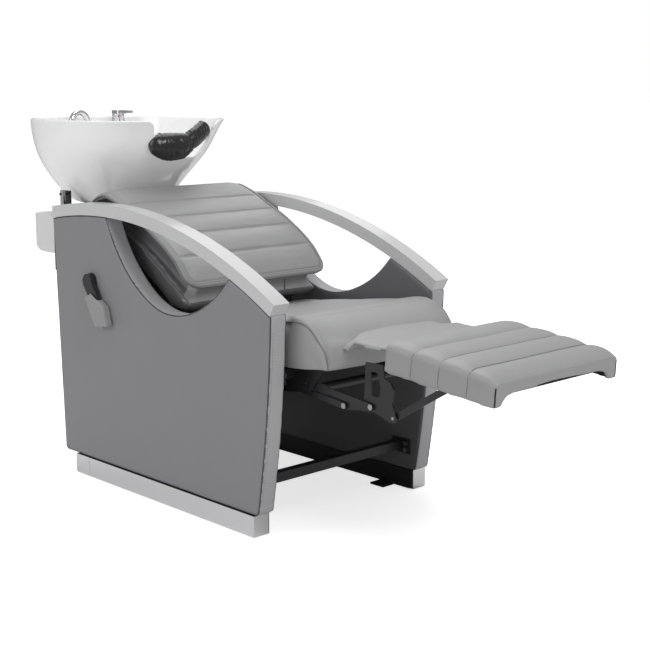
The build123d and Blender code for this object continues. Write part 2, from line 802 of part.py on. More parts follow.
def rear_housing():
    shell = rounded_shell_block(0) - rounded_shell_block(SHELL)
    for side in (-1, 1):
        shell -= rod_z(side * POST_X, TILT_AXIS[0], POST_R + 1, HOUSING_Z[1] - 8, HOUSING_Z[1] + 1)
    shell -= rod_z(*DRAIN, 60, HOUSING_Z[1] - 8, HOUSING_Z[1] + 1)
    shell -= box(-COLUMN_HALF + SHELL, COLUMN_HALF - SHELL, HOUSING_Y[0] - 1, COLUMN_REAR - SHELL,
                 HOUSING_Z[0] - 1, HOUSING_Z[0] + 8)
    return [shell]


def rear_column():
    """The narrower cover below the housing, over the waste and supply hoses."""
    outer = box(-COLUMN_HALF, COLUMN_HALF, HOUSING_Y[0], COLUMN_REAR, 62, HOUSING_Z[0])
    outer = fillet(outer.edges().filter_by(Axis.Z).group_by(Axis.Y)[-1], 30)
    inner = box(-COLUMN_HALF + SHELL, COLUMN_HALF - SHELL, HOUSING_Y[0] - 1, COLUMN_REAR - SHELL, 61, 700)
    inner = fillet(inner.edges().filter_by(Axis.Z).group_by(Axis.Y)[-1], 30 - SHELL)
    return [outer - inner]


def valve_bracket():
    """A shelf across the column that carries the two supply valves."""
    y0, y1 = HOUSING_Y[0] + 4, COLUMN_REAR - 32
    shelf = box(-COLUMN_HALF + SHELL, COLUMN_HALF - SHELL, y0, y1, 150, 153)
    for x in (-VALVE_X, VALVE_X):
        shelf -= rod_z(x, VALVE_Y, 11, 149, 154)
    return [shelf - rod_z(0, WASTE_Y, WASTE_R + 1, 149, 154)]


def supply_valves():
    valves = []
    for x in (-VALVE_X, VALVE_X):
        valve = rod_z(x, VALVE_Y, 11, 112, 150) + rod_z(x, VALVE_Y, 14, 153, 168)
        valve += rod_z(x, VALVE_Y, 11, 150, 153)
        valve += rod_y(x, 128, 7, VALVE_Y + 8, VALVE_Y + 26)
        valve += rod_z(x, VALVE_Y, VALVE_STUB_R, 88, 112)
        valves.append(valve)
    return valves


def hose(points, radius):
    path = Spline(*points, tangents=[(0, 0, 1), (0, 0, 1)])
    return sweep(Plane(path @ 0, z_dir=path % 0) * Circle(radius), path=path)


def supply_hoses():
    hoses = []
    for side in (-1, 1):
        hoses.append(hose([(side * VALVE_X, VALVE_Y, 168), (side * 70, 535, 420), (side * 34, 560, 690)], 6))
    return hoses


def waste_hose():
    """The waste hose, from the spigot that meets the floor waste up to a cuff below the bowl."""
    low = rod_z(0, WASTE_Y, SPIGOT_R, *SPIGOT_Z) + rod_z(0, WASTE_Y, WASTE_R, SPIGOT_Z[1], 540)
    bend = hose([(0, WASTE_Y, 540), (0, (WASTE_Y + DRAIN[1]) / 2, 598), (0, DRAIN[1], 656)], WASTE_R)
    cuff = rod_z(*DRAIN, WASTE_R + 5, 656, 668)
    return [low + bend + cuff]


def bowl_posts():
    post = rod_z(POST_X, TILT_AXIS[0], POST_R, REAR_ARM_Z[0] + 4, TILT_AXIS[1] + 12)
    return both(post - rod_x(TILT_AXIS, TILT_PIN_R + PIN_GAP, 170, 220))


# ---------------------------------------------------------------- bowl

def bowl_ring(z, scale, shift, front, inset):
    """One level of the bowl: a closed superellipse, fuller at the back than at the front cheeks."""
    a = BOWL_A * scale - inset
    b = BOWL_B * scale - inset
    points = []
    steps = 16
    for i in range(steps):
        t = 2 * math.pi * i / steps
        c, s = math.cos(t), math.sin(t)
        power = 2 / (front if s < 0 else SUPER)
        x = math.copysign(abs(c) ** power, c) * a
        y = math.copysign(abs(s) ** power, s) * b
        points.append((x, BOWL_Y + shift + y, z))
    return make_face(Spline(*points, periodic=True))


def bowl_outer():
    return loft([bowl_ring(*ring, 0) for ring in BOWL_RINGS])


def bowl_basin():
    rings = [bowl_ring(ring[0] + WALL + 2, *ring[1:], WALL) for ring in BOWL_RINGS[:2]]
    rings += [bowl_ring(*ring, WALL) for ring in BOWL_RINGS[2:-1]]
    rings.append(bowl_ring(RIM_Z + 1, *BOWL_RINGS[-1][1:], WALL))
    return loft(rings)


def notch_outline():
    """The neck opening seen from the front: a U with round shoulders at the rim."""
    half, low, shoulder = NOTCH_HALF, NOTCH_Z, 30
    rise = 0.293 * shoulder
    return make_face([
        Line((-half - shoulder, RIM_Z + 5), (-half - shoulder, RIM_Z)),
        ThreePointArc((-half - shoulder, RIM_Z), (-half - rise, RIM_Z - rise), (-half, RIM_Z - shoulder)),
        Line((-half, RIM_Z - shoulder), (-half + 8, low + 60)),
        ThreePointArc((-half + 8, low + 60), (-half + 20, low + 18), (-half + 54, low)),
        Line((-half + 54, low), (half - 54, low)),
        ThreePointArc((half - 54, low), (half - 20, low + 18), (half - 8, low + 60)),
        Line((half - 8, low + 60), (half, RIM_Z - shoulder)),
        ThreePointArc((half, RIM_Z - shoulder), (half + rise, RIM_Z - rise), (half + shoulder, RIM_Z)),
        Line((half + shoulder, RIM_Z), (half + shoulder, RIM_Z + 5)),
        Line((half + shoulder, RIM_Z + 5), (-half - shoulder, RIM_Z + 5)),
    ])


def bowl():
    ledge = box(-BOWL_A, BOWL_A, LEDGE_Y, BOWL_Y + BOWL_B, 700, LEDGE_Z)
    body = bowl_outer() - (bowl_basin() - ledge)
    body -= Pos(0, 340, 0) * (Plane.XZ * extrude(notch_outline(), 200))
    body -= rod_z(*DRAIN, 22, 740, 775)
    return [body]


def drain_flange():
    lip = rod_z(*DRAIN, 33, 766, 769) + rod_z(*DRAIN, 22, 751, 766)
    return [lip - rod_z(*DRAIN, 17, 750, 770)]


def strainer():
    disc = rod_z(*DRAIN, 24, 769, 771.5)
    for ring, count in ((7, 6), (13, 12)):
        for i in range(count):
            t = 2 * math.pi * i / count
            disc -= rod_z(DRAIN[0] + ring * math.cos(t), DRAIN[1] + ring * math.sin(t), 2, 768, 773)
    return [disc + rod_z(*DRAIN, 3, 771.5, 777)]


def drain_tail():
    tail = rod_z(*DRAIN, 24, 690, 751) + rod_z(*DRAIN, 29, 725, 741)
    return [tail - rod_z(*DRAIN, 17, 689, 752)]


def tilt_cradle():
    """A steel strap under the bowl with an ear and a welded tilt pin at each side."""
    y0, y1 = TILT_AXIS[0] - 28, TILT_AXIS[0] + 28
    strap = box(-180, 180, y0, y1, 744, 751) - rod_z(*DRAIN, 31, 740, 755)
    for side in (-1, 1):
        strap += box(side * 174, side * 180, TILT_AXIS[0] - 11, TILT_AXIS[0] + 11, 744, TILT_AXIS[1] + 9)
        strap += rod_x(TILT_AXIS, TILT_PIN_R, side * 174, side * (POST_X + POST_R + 2))
    return [strap]


def neck_rest():
    """A U-shaped roll in the neck opening."""
    side = [(78, 292, 1000), (76, 288, 965), (58, 280, 936)]
    path = Spline(*[(-x, y, z) for x, y, z in side], (0, 274, 923), *side[::-1])
    return [sweep(Plane(path @ 0, z_dir=path % 0) * Circle(20), path=path)]


def tap_body():
    x, y = TAP
    return [rod_z(x, y, 24, LEDGE_Z, LEDGE_Z + 5) + rod_z(x, y, 20, LEDGE_Z + 5, TAP_TOP)]


def tap_cartridge():
    x, y = TAP
    return [rod_z(x, y, 18.5, TAP_TOP, TAP_TOP + 13)]


def tap_lever():
    """The lever block, with its pivot pin at the rear and a handle to the front."""
    x, y = TAP
    low = TAP_TOP + 14
    lever = box(x - 17, x + 17, y - 24, y + 14, low, low + 11)
    lever = fillet(lever.edges().filter_by(Axis.Z), 6) + box(x - 9, x + 9, y - 68, y - 22, low + 3, low + 11)
    return [lever + rod_x((y + 14, low + 2), 2.0, x - 10, x + 10)]


def shower_holder():
    return [rod_z(*SHOWER, 20, LEDGE_Z, LEDGE_Z + 20) - rod_z(*SHOWER, 13, LEDGE_Z + 3, LEDGE_Z + 21)]


def shower_head():
    """Hand shower: a stem in the holder, an arched neck and a spray head."""
    x, y = SHOWER
    stem = rod_z(x, y, 10, LEDGE_Z + 4, LEDGE_Z + 34)
    arch = ThreePointArc((x, y, LEDGE_Z + 34), (x - 31, y - 3, LEDGE_Z + 62), (x - 62, y - 6, LEDGE_Z + 34))
    neck = sweep(Plane(arch @ 0, z_dir=arch % 0) * Circle(9), path=arch)
    head = Pos(x - 62, y - 6, LEDGE_Z + 25) * Cone(24, 10, 20)
    return [stem + neck + head]


def all_nodes():
    builders = [
        plinth_tubes, plinth_trims, foot_pads, floor_lugs, crossbars, seat_crossbars, frame_bolts,
        panel_cores, panel_skins, panel_linings, panel_edge_bands, armrests, armrest_screws,
        seat_frame, seat_board, seat_cushion,
        mechanism_plates, frame_rivets, drive_links, torque_tube, elbow_rivets,
        control_links, control_rivets, saddle_plates, saddle_rivets, lift_links, lift_rivets,
        leg_brackets, leg_board, leg_board_bolts, leg_pad, leg_flap,
        lever_shaft, lever_bezel, lever_arm, lever_sleeve,
        back_cushion, back_board, back_pad, back_hinge_arms, back_brackets,
        rear_frame, rear_housing, rear_column, valve_bracket, supply_valves, supply_hoses,
        waste_hose, bowl_posts,
        bowl, drain_flange, strainer, drain_tail, tilt_cradle, neck_rest,
        tap_body, tap_cartridge, tap_lever, shower_holder, shower_head,
    ]
    return {builder.__name__: builder() for builder in builders}


def write_nodes(nodes):
    os.makedirs("parts", exist_ok=True)
    for name, pieces in nodes.items():
        solids = []
        for piece in pieces:
            solids += piece.solids()
        export_step(Compound(children=solids), f"parts/{name}.step")


write_nodes(all_nodes())
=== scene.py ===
import json
import math

import bmesh
import bpy
import numpy as np
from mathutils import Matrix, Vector, noise
from mathutils.bvhtree import BVHTree


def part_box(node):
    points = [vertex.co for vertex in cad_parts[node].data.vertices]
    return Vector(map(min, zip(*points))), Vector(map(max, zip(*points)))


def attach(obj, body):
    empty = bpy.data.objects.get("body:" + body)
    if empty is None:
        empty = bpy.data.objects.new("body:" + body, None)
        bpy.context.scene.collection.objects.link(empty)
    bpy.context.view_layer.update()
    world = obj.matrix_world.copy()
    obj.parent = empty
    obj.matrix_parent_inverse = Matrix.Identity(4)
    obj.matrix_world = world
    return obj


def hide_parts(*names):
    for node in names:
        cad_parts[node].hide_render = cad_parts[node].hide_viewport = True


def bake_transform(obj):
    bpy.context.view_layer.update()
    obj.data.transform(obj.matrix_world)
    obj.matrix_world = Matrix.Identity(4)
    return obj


# The looks of a shampoo backwash unit, in metres and in the CAD frame: the sitter faces -Y, and the panel
# with the release lever is at -X. Side view curves are lists of (y, z) in millimetres.

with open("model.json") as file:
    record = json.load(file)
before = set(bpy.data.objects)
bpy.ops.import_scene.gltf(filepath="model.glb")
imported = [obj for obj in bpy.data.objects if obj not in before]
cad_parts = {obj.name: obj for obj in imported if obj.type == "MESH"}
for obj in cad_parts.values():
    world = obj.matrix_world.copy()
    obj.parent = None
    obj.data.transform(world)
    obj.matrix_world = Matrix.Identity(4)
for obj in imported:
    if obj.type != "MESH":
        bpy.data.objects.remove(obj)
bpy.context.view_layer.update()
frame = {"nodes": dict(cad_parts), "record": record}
RECORD = frame["record"]


# ------------------------------------------------------------------ materials

CLOUD_SCALE = 9.0
# painted light: the ceramic glows a little, which lifts its shaded underside
PAINTED_GLAZE_LIGHT = 0.09
# painted shade: the boards under the cushions get a near-black finish in place of their own
SHADE_BOARDS = ("seat_board", "leg_board", "back_board")


def link(tree, a, out, b, into):
    tree.links.new(a.outputs[out], b.inputs[into])


def add_bump(tree, coords, tex, out, spec, normal):
    """A bump from a texture, on top of the normal so far. spec is (cells per metre, height in metres)."""
    tex.inputs["Scale"].default_value = spec[0]
    link(tree, coords, "Object", tex, "Vector")
    bump = tree.nodes.new("ShaderNodeBump")
    bump.inputs["Distance"].default_value = spec[1]
    bump.inputs["Strength"].default_value = 1.0
    link(tree, tex, out, bump, "Height")
    if normal:
        link(tree, normal, "Normal", bump, "Normal")
    return bump


def map_range(tree, source, low, high):
    ramp = tree.nodes.new("ShaderNodeMapRange")
    ramp.inputs["To Min"].default_value = low
    ramp.inputs["To Max"].default_value = high
    link(tree, source, "Fac", ramp, "Value")
    return ramp


def add_clouds(tree, coords, color, rough, mottle, spread):
    """Slow changes of the color (mottle, a share of it) and of the roughness (spread)."""
    shader = tree.nodes["Principled BSDF"]
    tex = tree.nodes.new("ShaderNodeTexNoise")
    tex.inputs["Scale"].default_value = CLOUD_SCALE
    tex.inputs["Detail"].default_value = 5.0
    link(tree, coords, "Object", tex, "Vector")
    if mottle:
        mix = tree.nodes.new("ShaderNodeVectorMath")
        mix.operation = "SCALE"
        mix.inputs[0].default_value = color
        link(tree, map_range(tree, tex, 1.0 - mottle, 1.0 + mottle), "Result", mix, "Scale")
        link(tree, mix, "Vector", shader, "Base Color")
    if spread:
        ramp = map_range(tree, tex, max(rough - spread, 0.02), rough + spread)
        link(tree, ramp, "Result", shader, "Roughness")


def material(name, color, rough, metal=0.0, coat=0.0, grain=None, swell=None, mottle=0.0, round_edge=0.0,
             spread=0.0):
    """One procedural finish. grain and swell are (cells per metre, height in metres)."""
    mat = bpy.data.materials.new(name)
    mat.use_nodes = True
    tree = mat.node_tree
    shader = tree.nodes["Principled BSDF"]
    shader.inputs["Base Color"].default_value = (*color, 1.0)
    shader.inputs["Roughness"].default_value = rough
    shader.inputs["Metallic"].default_value = metal
    shader.inputs["Coat Weight"].default_value = coat
    shader.inputs["Coat Roughness"].default_value = 0.06
    coords = tree.nodes.new("ShaderNodeTexCoord")
    normal = None
    if round_edge:
        normal = tree.nodes.new("ShaderNodeBevel")
        normal.samples = 4
        normal.inputs["Radius"].default_value = round_edge
    if grain:
        cells = tree.nodes.new("ShaderNodeTexVoronoi")
        normal = add_bump(tree, coords, cells, "Distance", grain, normal)
    if swell:
        waves = tree.nodes.new("ShaderNodeTexNoise")
        waves.inputs["Detail"].default_value = 3.0
        normal = add_bump(tree, coords, waves, "Fac", swell, normal)
    if normal:
        link(tree, normal, "Normal", shader, "Normal")
    if mottle or spread:
        add_clouds(tree, coords, color, rough, mottle, spread)
    return mat


def wood_material(name):
    mat = material(name, (0.50, 0.36, 0.22), 0.6)
    tree = mat.node_tree
    coords = tree.nodes.new("ShaderNodeTexCoord")
    wave = tree.nodes.new("ShaderNodeTexWave")
    wave.inputs["Scale"].default_value = 14.0
    wave.inputs["Distortion"].default_value = 6.0
    wave.inputs["Detail"].default_value = 3.0
    link(tree, coords, "Object", wave, "Vector")
    ramp = tree.nodes.new("ShaderNodeValToRGB")
    ramp.color_ramp.elements[0].color = (0.36, 0.24, 0.13, 1)
    ramp.color_ramp.elements[1].color = (0.56, 0.42, 0.26, 1)
    link(tree, wave, "Fac", ramp, "Fac")
    link(tree, ramp, "Color", tree.nodes["Principled BSDF"], "Base Color")
    return mat


def painted_reflection_falloff(mat, face, edge):
    """Painted reflection: the metal's colour darkens where the surface turns away, standing in for a dark
    studio reflection.
    """
    tree = mat.node_tree
    turn = tree.nodes.new("ShaderNodeLayerWeight")
    turn.inputs["Blend"].default_value = 0.35
    ramp = tree.nodes.new("ShaderNodeValToRGB")
    ramp.color_ramp.elements[0].position = 0.15
    ramp.color_ramp.elements[0].color = (face, face, face, 1)
    ramp.color_ramp.elements[1].position = 0.75
    ramp.color_ramp.elements[1].color = (edge, edge, edge, 1)
    link(tree, turn, "Facing", ramp, "Fac")
    link(tree, ramp, "Color", tree.nodes["Principled BSDF"], "Base Color")


GRAIN = (900.0, 0.00012)
MATS = {
    "black_steel": material("black_steel", (0.018, 0.018, 0.020), 0.38, grain=(1500.0, 0.00004),
                            round_edge=0.0008),
    "zinc": material("zinc", (0.42, 0.42, 0.42), 0.30, metal=1.0, round_edge=0.0008, spread=0.08),
    "chrome": material("chrome", (0.82, 0.83, 0.84), 0.06, metal=1.0, round_edge=0.0012),
    "trim": material("trim", (0.86, 0.86, 0.87), 0.20, metal=1.0, round_edge=0.0012, spread=0.05),
    "pad_rubber": material("pad_rubber", (0.02, 0.02, 0.02), 0.7),
    "wood": wood_material("wood"),
    # painted shade: near-black colour for the boards under the seat
    "dark_board": material("dark_board", (0.014, 0.014, 0.014), 0.8, grain=(1200.0, 0.0001)),
    "panel_vinyl": material("panel_vinyl", (0.265, 0.262, 0.280), 0.46, grain=GRAIN, swell=(7.0, 0.0015),
                            mottle=0.04, spread=0.06),
    "lining_vinyl": material("lining_vinyl", (0.150, 0.150, 0.158), 0.5, grain=GRAIN, swell=(7.0, 0.001),
                             mottle=0.05),
    "band_vinyl": material("band_vinyl", (0.46, 0.46, 0.475), 0.44, grain=GRAIN, swell=(30.0, 0.0006),
                           mottle=0.03),
    "arm_satin": material("arm_satin", (0.66, 0.66, 0.665), 0.30, coat=0.3, round_edge=0.0018, mottle=0.02,
                          spread=0.05),
    "cushion_vinyl": material("cushion_vinyl", (0.36, 0.36, 0.365), 0.44, grain=GRAIN, swell=(16.0, 0.0016),
                              mottle=0.03, spread=0.06),
    # painted shade: a darker copy of the cushion vinyl, for the lower back cushion and the skirt under the
    # back
    "lower_back_vinyl": material("lower_back_vinyl", (0.125, 0.125, 0.130), 0.40, grain=GRAIN,
                                 swell=(16.0, 0.0012), mottle=0.04),
    "sleeve_vinyl": material("sleeve_vinyl", (0.33, 0.33, 0.335), 0.45, grain=GRAIN, swell=(60.0, 0.0008),
                             mottle=0.03),
    "ceramic": material("ceramic", (0.93, 0.93, 0.935), 0.12, coat=0.5),
    "white_shell": material("white_shell", (0.80, 0.80, 0.81), 0.38, grain=(2200.0, 0.00002),
                            round_edge=0.0015),
    "black_plastic": material("black_plastic", (0.020, 0.020, 0.022), 0.35, grain=(2000.0, 0.00003),
                              round_edge=0.0015),
    "neck_gel": material("neck_gel", (0.012, 0.012, 0.013), 0.22, grain=(700.0, 0.00012), coat=0.3),
    "hose": material("hose", (0.45, 0.45, 0.46), 0.5, grain=(300.0, 0.0006)),
    "brass": material("brass", (0.70, 0.66, 0.58), 0.22, metal=1.0, round_edge=0.001),
    "piping": material("piping", (0.075, 0.075, 0.080), 0.5),
    "piping_grey": material("piping_grey", (0.20, 0.20, 0.205), 0.45),
    "seam_grey": material("seam_grey", (0.24, 0.24, 0.245), 0.5),
    "thread": material("thread", (0.17, 0.17, 0.175), 0.7),
    "thread_light": material("thread_light", (0.46, 0.46, 0.47), 0.7),
    "under_cloth": material("under_cloth", (0.012, 0.012, 0.013), 0.85, grain=(1200.0, 0.0001)),
    "dot_red": material("dot_red", (0.65, 0.02, 0.02), 0.3),
    "dot_blue": material("dot_blue", (0.02, 0.08, 0.60), 0.3),
}
# painted reflection: the chrome's colour is darkened towards its turned-away edges
painted_reflection_falloff(MATS["chrome"], 0.80, 0.10)
# painted light: a weak white glow on the ceramic brightens it where it is shaded
glaze = MATS["ceramic"].node_tree.nodes["Principled BSDF"]
glaze.inputs["Emission Color"].default_value = (1, 1, 1, 1)
glaze.inputs["Emission Strength"].default_value = PAINTED_GLAZE_LIGHT
for part in RECORD["subparts"]:
    node = frame["nodes"][part["node"]]
    node.data.materials.clear()
    finish = part["material_slot"]
    # painted shade: the boards and the torque tube under the seat get near-black finishes in place of their
    # own slots
    if part["node"] in SHADE_BOARDS:
        finish = "dark_board"
    elif part["node"] == "torque_tube":
        finish = "black_steel"
    node.data.materials.append(MATS[finish])


# ------------------------------------------------------------------ mesh helpers

def add_mesh(name, verts, faces, mats, smooth=True):
    mesh = bpy.data.meshes.new(name)
    mesh.from_pydata([tuple(v) for v in verts], [], faces)
    mesh.validate()
    obj = bpy.data.objects.new(name, mesh)
    bpy.context.scene.collection.objects.link(obj)
    for mat in mats:
        mesh.materials.append(MATS[mat])
    mesh.shade_smooth() if smooth else mesh.shade_flat()
    bm = bmesh.new()
    bm.from_mesh(mesh)
    bmesh.ops.recalc_face_normals(bm, faces=bm.faces)
    bm.to_mesh(mesh)
    bm.free()
    return obj


def resample(points, step, closed=False):
    """Points at even distances along a polyline, with its ends kept."""
    pts = [Vector(p) for p in points]
    if closed:
        pts.append(pts[0])
    lengths = [0.0]
    for a, b in zip(pts, pts[1:]):
        lengths.append(lengths[-1] + (b - a).length)
    count = max(2, int(round(lengths[-1] / step)))
    result = []
    k = 0
    for i in range(count + (0 if closed else 1)):
        d = lengths[-1] * i / count
        while k < len(pts) - 2 and lengths[k + 1] < d:
            k += 1
        span = max(lengths[k + 1] - lengths[k], 1e-9)
        result.append(pts[k].lerp(pts[k + 1], min((d - lengths[k]) / span, 1.0)))
    return result


def smooth_path(points, step=0.004):
    """A Catmull-Rom curve through the points, evenly spaced."""
    pts = [Vector(p) for p in points]
    n = len(pts)
    out = []
    for i in range(n - 1):
        p0, p1, p2, p3 = pts[max(i - 1, 0)], pts[i], pts[i + 1], pts[min(i + 2, n - 1)]
        for k in range(12):
            t = k / 12
            out.append(0.5 * ((2 * p1) + (p2 - p0) * t + (2 * p0 - 5 * p1 + 4 * p2 - p3) * t * t
                              + (3 * p1 - p0 - 3 * p2 + p3) * t ** 3))
    out.append(pts[-1])
    return resample(out, step)


def tube_mesh(points, radius, sides, closed=False, base=0):
    """Rings along a path. radius is a number, or a function of the share of the path's length."""
    pts = [Vector(p) for p in points]
    n = len(pts)
    verts, faces = [], []
    side = None
    for i, p in enumerate(pts):
        a = pts[i - 1] if (i or closed) else p
        b = pts[(i + 1) % n] if (i < n - 1 or closed) else p
        t = (b - a).normalized()
        if side is None:
            side = t.orthogonal().normalized()
        side = (side - t * side.dot(t)).normalized()
        up = t.cross(side)
        r = radius(i / max(n - 1, 1)) if callable(radius) else radius
        for k in range(sides):
            angle = 2 * math.pi * k / sides
            verts.append(p + (side * math.cos(angle) + up * math.sin(angle)) * r)
    for i in range(n if closed else n - 1):
        j = (i + 1) % n
        for k in range(sides):
            m = (k + 1) % sides
            near, far = base + i * sides, base + j * sides
            faces.append((near + k, near + m, far + m, far + k))
    if not closed:
        faces.append(tuple(base + k for k in range(sides))[::-1])
        faces.append(tuple(base + (n - 1) * sides + k for k in range(sides)))
    return verts, faces


def tubes(name, paths, radius, body, mat, closed=False, sides=8):
    """Several tubes as one piece that rides on a body."""
    verts, faces = [], []
    for path in paths:
        v, f = tube_mesh(path, radius, sides, closed, len(verts))
        verts += v
        faces += f
    obj = add_mesh(name, verts, faces, [mat])
    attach(obj, body)


STITCH_PITCH, STITCH_LENGTH, STITCH_R = 0.0075, 0.0048, 0.0006


def stitches(name, paths, body, mat="thread"):
    """Short threads along paths, as one piece."""
    verts, faces = [], []
    for path in paths:
        pts = resample(path, STITCH_PITCH)
        for a, b in zip(pts, pts[1:]):
            t = (b - a).normalized()
            middle = (a + b) / 2
            side = t.orthogonal().normalized()
            up = t.cross(side)
            base = len(verts)
            verts.append(middle - t * STITCH_LENGTH / 2)
            for k in range(4):
                angle = math.pi / 2 * k
                verts.append(middle + (side * math.cos(angle) + up * math.sin(angle)) * STITCH_R)
            verts.append(middle + t * STITCH_LENGTH / 2)
            for k in range(4):
                m = (k + 1) % 4
                faces.append((base, base + 1 + m, base + 1 + k))
                faces.append((base + 5, base + 1 + k, base + 1 + m))
    obj = add_mesh(name, verts, faces, [mat])
    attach(obj, body)


def surface_of(obj):
    bm = bmesh.new()
    bm.from_mesh(obj.data)
    tree = BVHTree.FromBMesh(bm)
    bm.free()
    return tree


def drape(points, tree, lift):
    """The nearest surface points, moved out a little."""
    out = []
    for p in points:
        hit, normal, _, _ = tree.find_nearest(Vector(p))
        out.append(hit + normal * lift)
    return out


def even(points, rounds=8):
    """Takes the kinks out of a draped path."""
    pts = [Vector(p) for p in points]
    for _ in range(rounds):
        pts = [pts[0]] + [(a + b * 2 + c) / 4 for a, b, c in zip(pts, pts[1:], pts[2:])] + [pts[-1]]
    return pts


def copy_node(node, name):
    source = frame["nodes"][node]
    obj = bpy.data.objects.new(name, source.data.copy())
    bpy.context.scene.collection.objects.link(obj)
    return obj


def activate(obj):
    bpy.ops.object.select_all(action="DESELECT")
    obj.select_set(True)
    bpy.context.view_layer.objects.active = obj


def apply_modifiers(obj):
    activate(obj)
    for modifier in list(obj.modifiers):
        bpy.ops.object.modifier_apply(modifier=modifier.name)


def remesh(obj, voxel):
    weld = obj.modifiers.new("weld", "WELD")
    weld.merge_threshold = 0.00002
    modifier = obj.modifiers.new("remesh", "REMESH")
    modifier.mode = "VOXEL"
    modifier.voxel_size = voxel
    apply_modifiers(obj)


def relax(obj, count, factor=0.5):
    modifier = obj.modifiers.new("relax", "SMOOTH")
    modifier.factor = factor
    modifier.iterations = count
    apply_modifiers(obj)


def subdivide(obj):
    modifier = obj.modifiers.new("subdivide", "SUBSURF")
    modifier.levels = 1
    modifier.render_levels = 1
    apply_modifiers(obj)


def coords(obj):
    co = np.empty(len(obj.data.vertices) * 3, np.float64)
    obj.data.vertices.foreach_get("co", co)
    return co.reshape(-1, 3)


def set_coords(obj, co):
    obj.data.vertices.foreach_set("co", co.astype(np.float32).ravel())
    obj.data.update()


def normals(obj):
    no = np.empty(len(obj.data.vertices) * 3, np.float64)
    obj.data.vertices.foreach_get("normal", no)
    return no.reshape(-1, 3)


CLOTH_FRAMES = 20


def inflate(obj, pressure, cap):
    """A short cloth simulation under pressure; no point moves further than the cap."""
    start = coords(obj)
    scene = bpy.context.scene
    scene.frame_start = 1
    scene.frame_end = CLOTH_FRAMES
    cloth = obj.modifiers.new("cloth", "CLOTH")
    cloth.settings.use_pressure = True
    cloth.settings.uniform_pressure_force = pressure
    cloth.settings.effector_weights.gravity = 0.0
    cloth.settings.quality = 5
    cloth.settings.tension_stiffness = 20
    cloth.settings.compression_stiffness = 20
    cloth.settings.mass = 0.3
    cloth.point_cache.frame_start = 1
    cloth.point_cache.frame_end = CLOTH_FRAMES
    for step in range(1, CLOTH_FRAMES + 1):
        scene.frame_set(step)
    evaluated = obj.evaluated_get(bpy.context.evaluated_depsgraph_get())
    end = np.empty(len(evaluated.data.vertices) * 3, np.float64)
    evaluated.data.vertices.foreach_get("co", end)
    end = end.reshape(-1, 3)
    obj.modifiers.clear()
    scene.frame_set(1)
    move = end - start
    move[~np.isfinite(move)] = 0
    size = np.linalg.norm(move, axis=1, keepdims=True)
    move *= np.minimum(1.0, cap / np.maximum(size, 1e-9))
    set_coords(obj, start + move)


def ripple(obj, scale, height, seed=0.0):
    """Moves points along their normals by smooth noise."""
    co, no = coords(obj), normals(obj)
    value = np.array([noise.noise(Vector(c) * scale + Vector((seed, seed, seed))) for c in co])
    set_coords(obj, co + no * (value * height)[:, None])


def finish_piece(obj, name, mats, body, replaces):
    obj.name = name
    obj.data.name = name
    if mats:
        obj.data.materials.clear()
        for mat in mats:
            obj.data.materials.append(MATS[mat])
    obj.data.shade_smooth()
    if replaces:
        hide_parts(*replaces)
    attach(obj, body)
    return obj


def face_materials(obj, rule):
    centres = np.empty(len(obj.data.polygons) * 3)
    obj.data.polygons.foreach_get("center", centres)
    face_normals = np.empty(len(obj.data.polygons) * 3)
    obj.data.polygons.foreach_get("normal", face_normals)
    index = rule(centres.reshape(-1, 3), face_normals.reshape(-1, 3))
    obj.data.polygons.foreach_set("material_index", index.astype(np.int32))


# ------------------------------------------------------------------ side panels

def outer_loop(node, x):
    """The longest boundary loop of a CAD node's flat face at that x."""
    mesh = frame["nodes"][node].data
    keys = [tuple(round(c, 5) for c in v.co) for v in mesh.vertices]
    count = {}
    for face in mesh.polygons:
        if all(abs(keys[v][0] - x) < 2e-5 for v in face.vertices):
            vs = [keys[v] for v in face.vertices]
            for a, b in zip(vs, vs[1:] + vs[:1]):
                count[(a, b)] = count.get((a, b), 0) + 1
    border = {a: b for (a, b) in count if (b, a) not in count}
    loops = []
    while border:
        start, nxt = border.popitem()
        loop = [start]
        while nxt != start and nxt in border:
            loop.append(nxt)
            nxt = border.pop(nxt)
        loops.append(loop)
    best = max(loops, key=lambda l: sum((Vector(a) - Vector(b)).length for a, b in zip(l, l[1:])))
    return [(p[1], p[2]) for p in best]


def inset_loop(loop, distance):
    """The closed (y, z) loop moved inwards."""
    pts = [Vector((0, *p)) for p in loop]
    area = sum(a.y * b.z - b.y * a.z for a, b in zip(pts, pts[1:] + pts[:1]))
    turn = 1 if area > 0 else -1
    out = []
    n = len(pts)
    for i, p in enumerate(pts):
        t = (pts[(i + 1) % n] - pts[i - 1]).normalized()
        inward = Vector((0, -t.z, t.y)) * turn
        out.append(p + inward * distance)
    return [(p.y, p.z) for p in out]


PANEL_COVER_LIFT = 0.0005
PANEL_VOXEL = 0.0048
PANEL_RELAX = 7
PANEL_WAVES = 9.0
PANEL_WAVE_HEIGHT = 0.0012
BAND_EDGE = 0.004
PIPING_R = 0.0019
INNER_PIPING_R = 0.0016
PIPING_INSET = 0.0028
INNER_PIPING_INSET = 0.0030
PIPING_DEPTH = 0.0026
STITCH_DEPTH = 0.009
FRONT_EDGE_Y = -0.38
FRONT_EDGE_Z = (0.085, 0.53)
PANEL_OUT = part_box("panel_skins")[1].x
PANEL_IN = min(abs(v.co.x) for v in frame["nodes"]["panel_linings"].data.vertices)
LOOP = outer_loop("panel_skins", PANEL_OUT)
LOOP = [(p.y, p.z) for p in resample([(0, *p) for p in LOOP], 0.006, closed=True)]


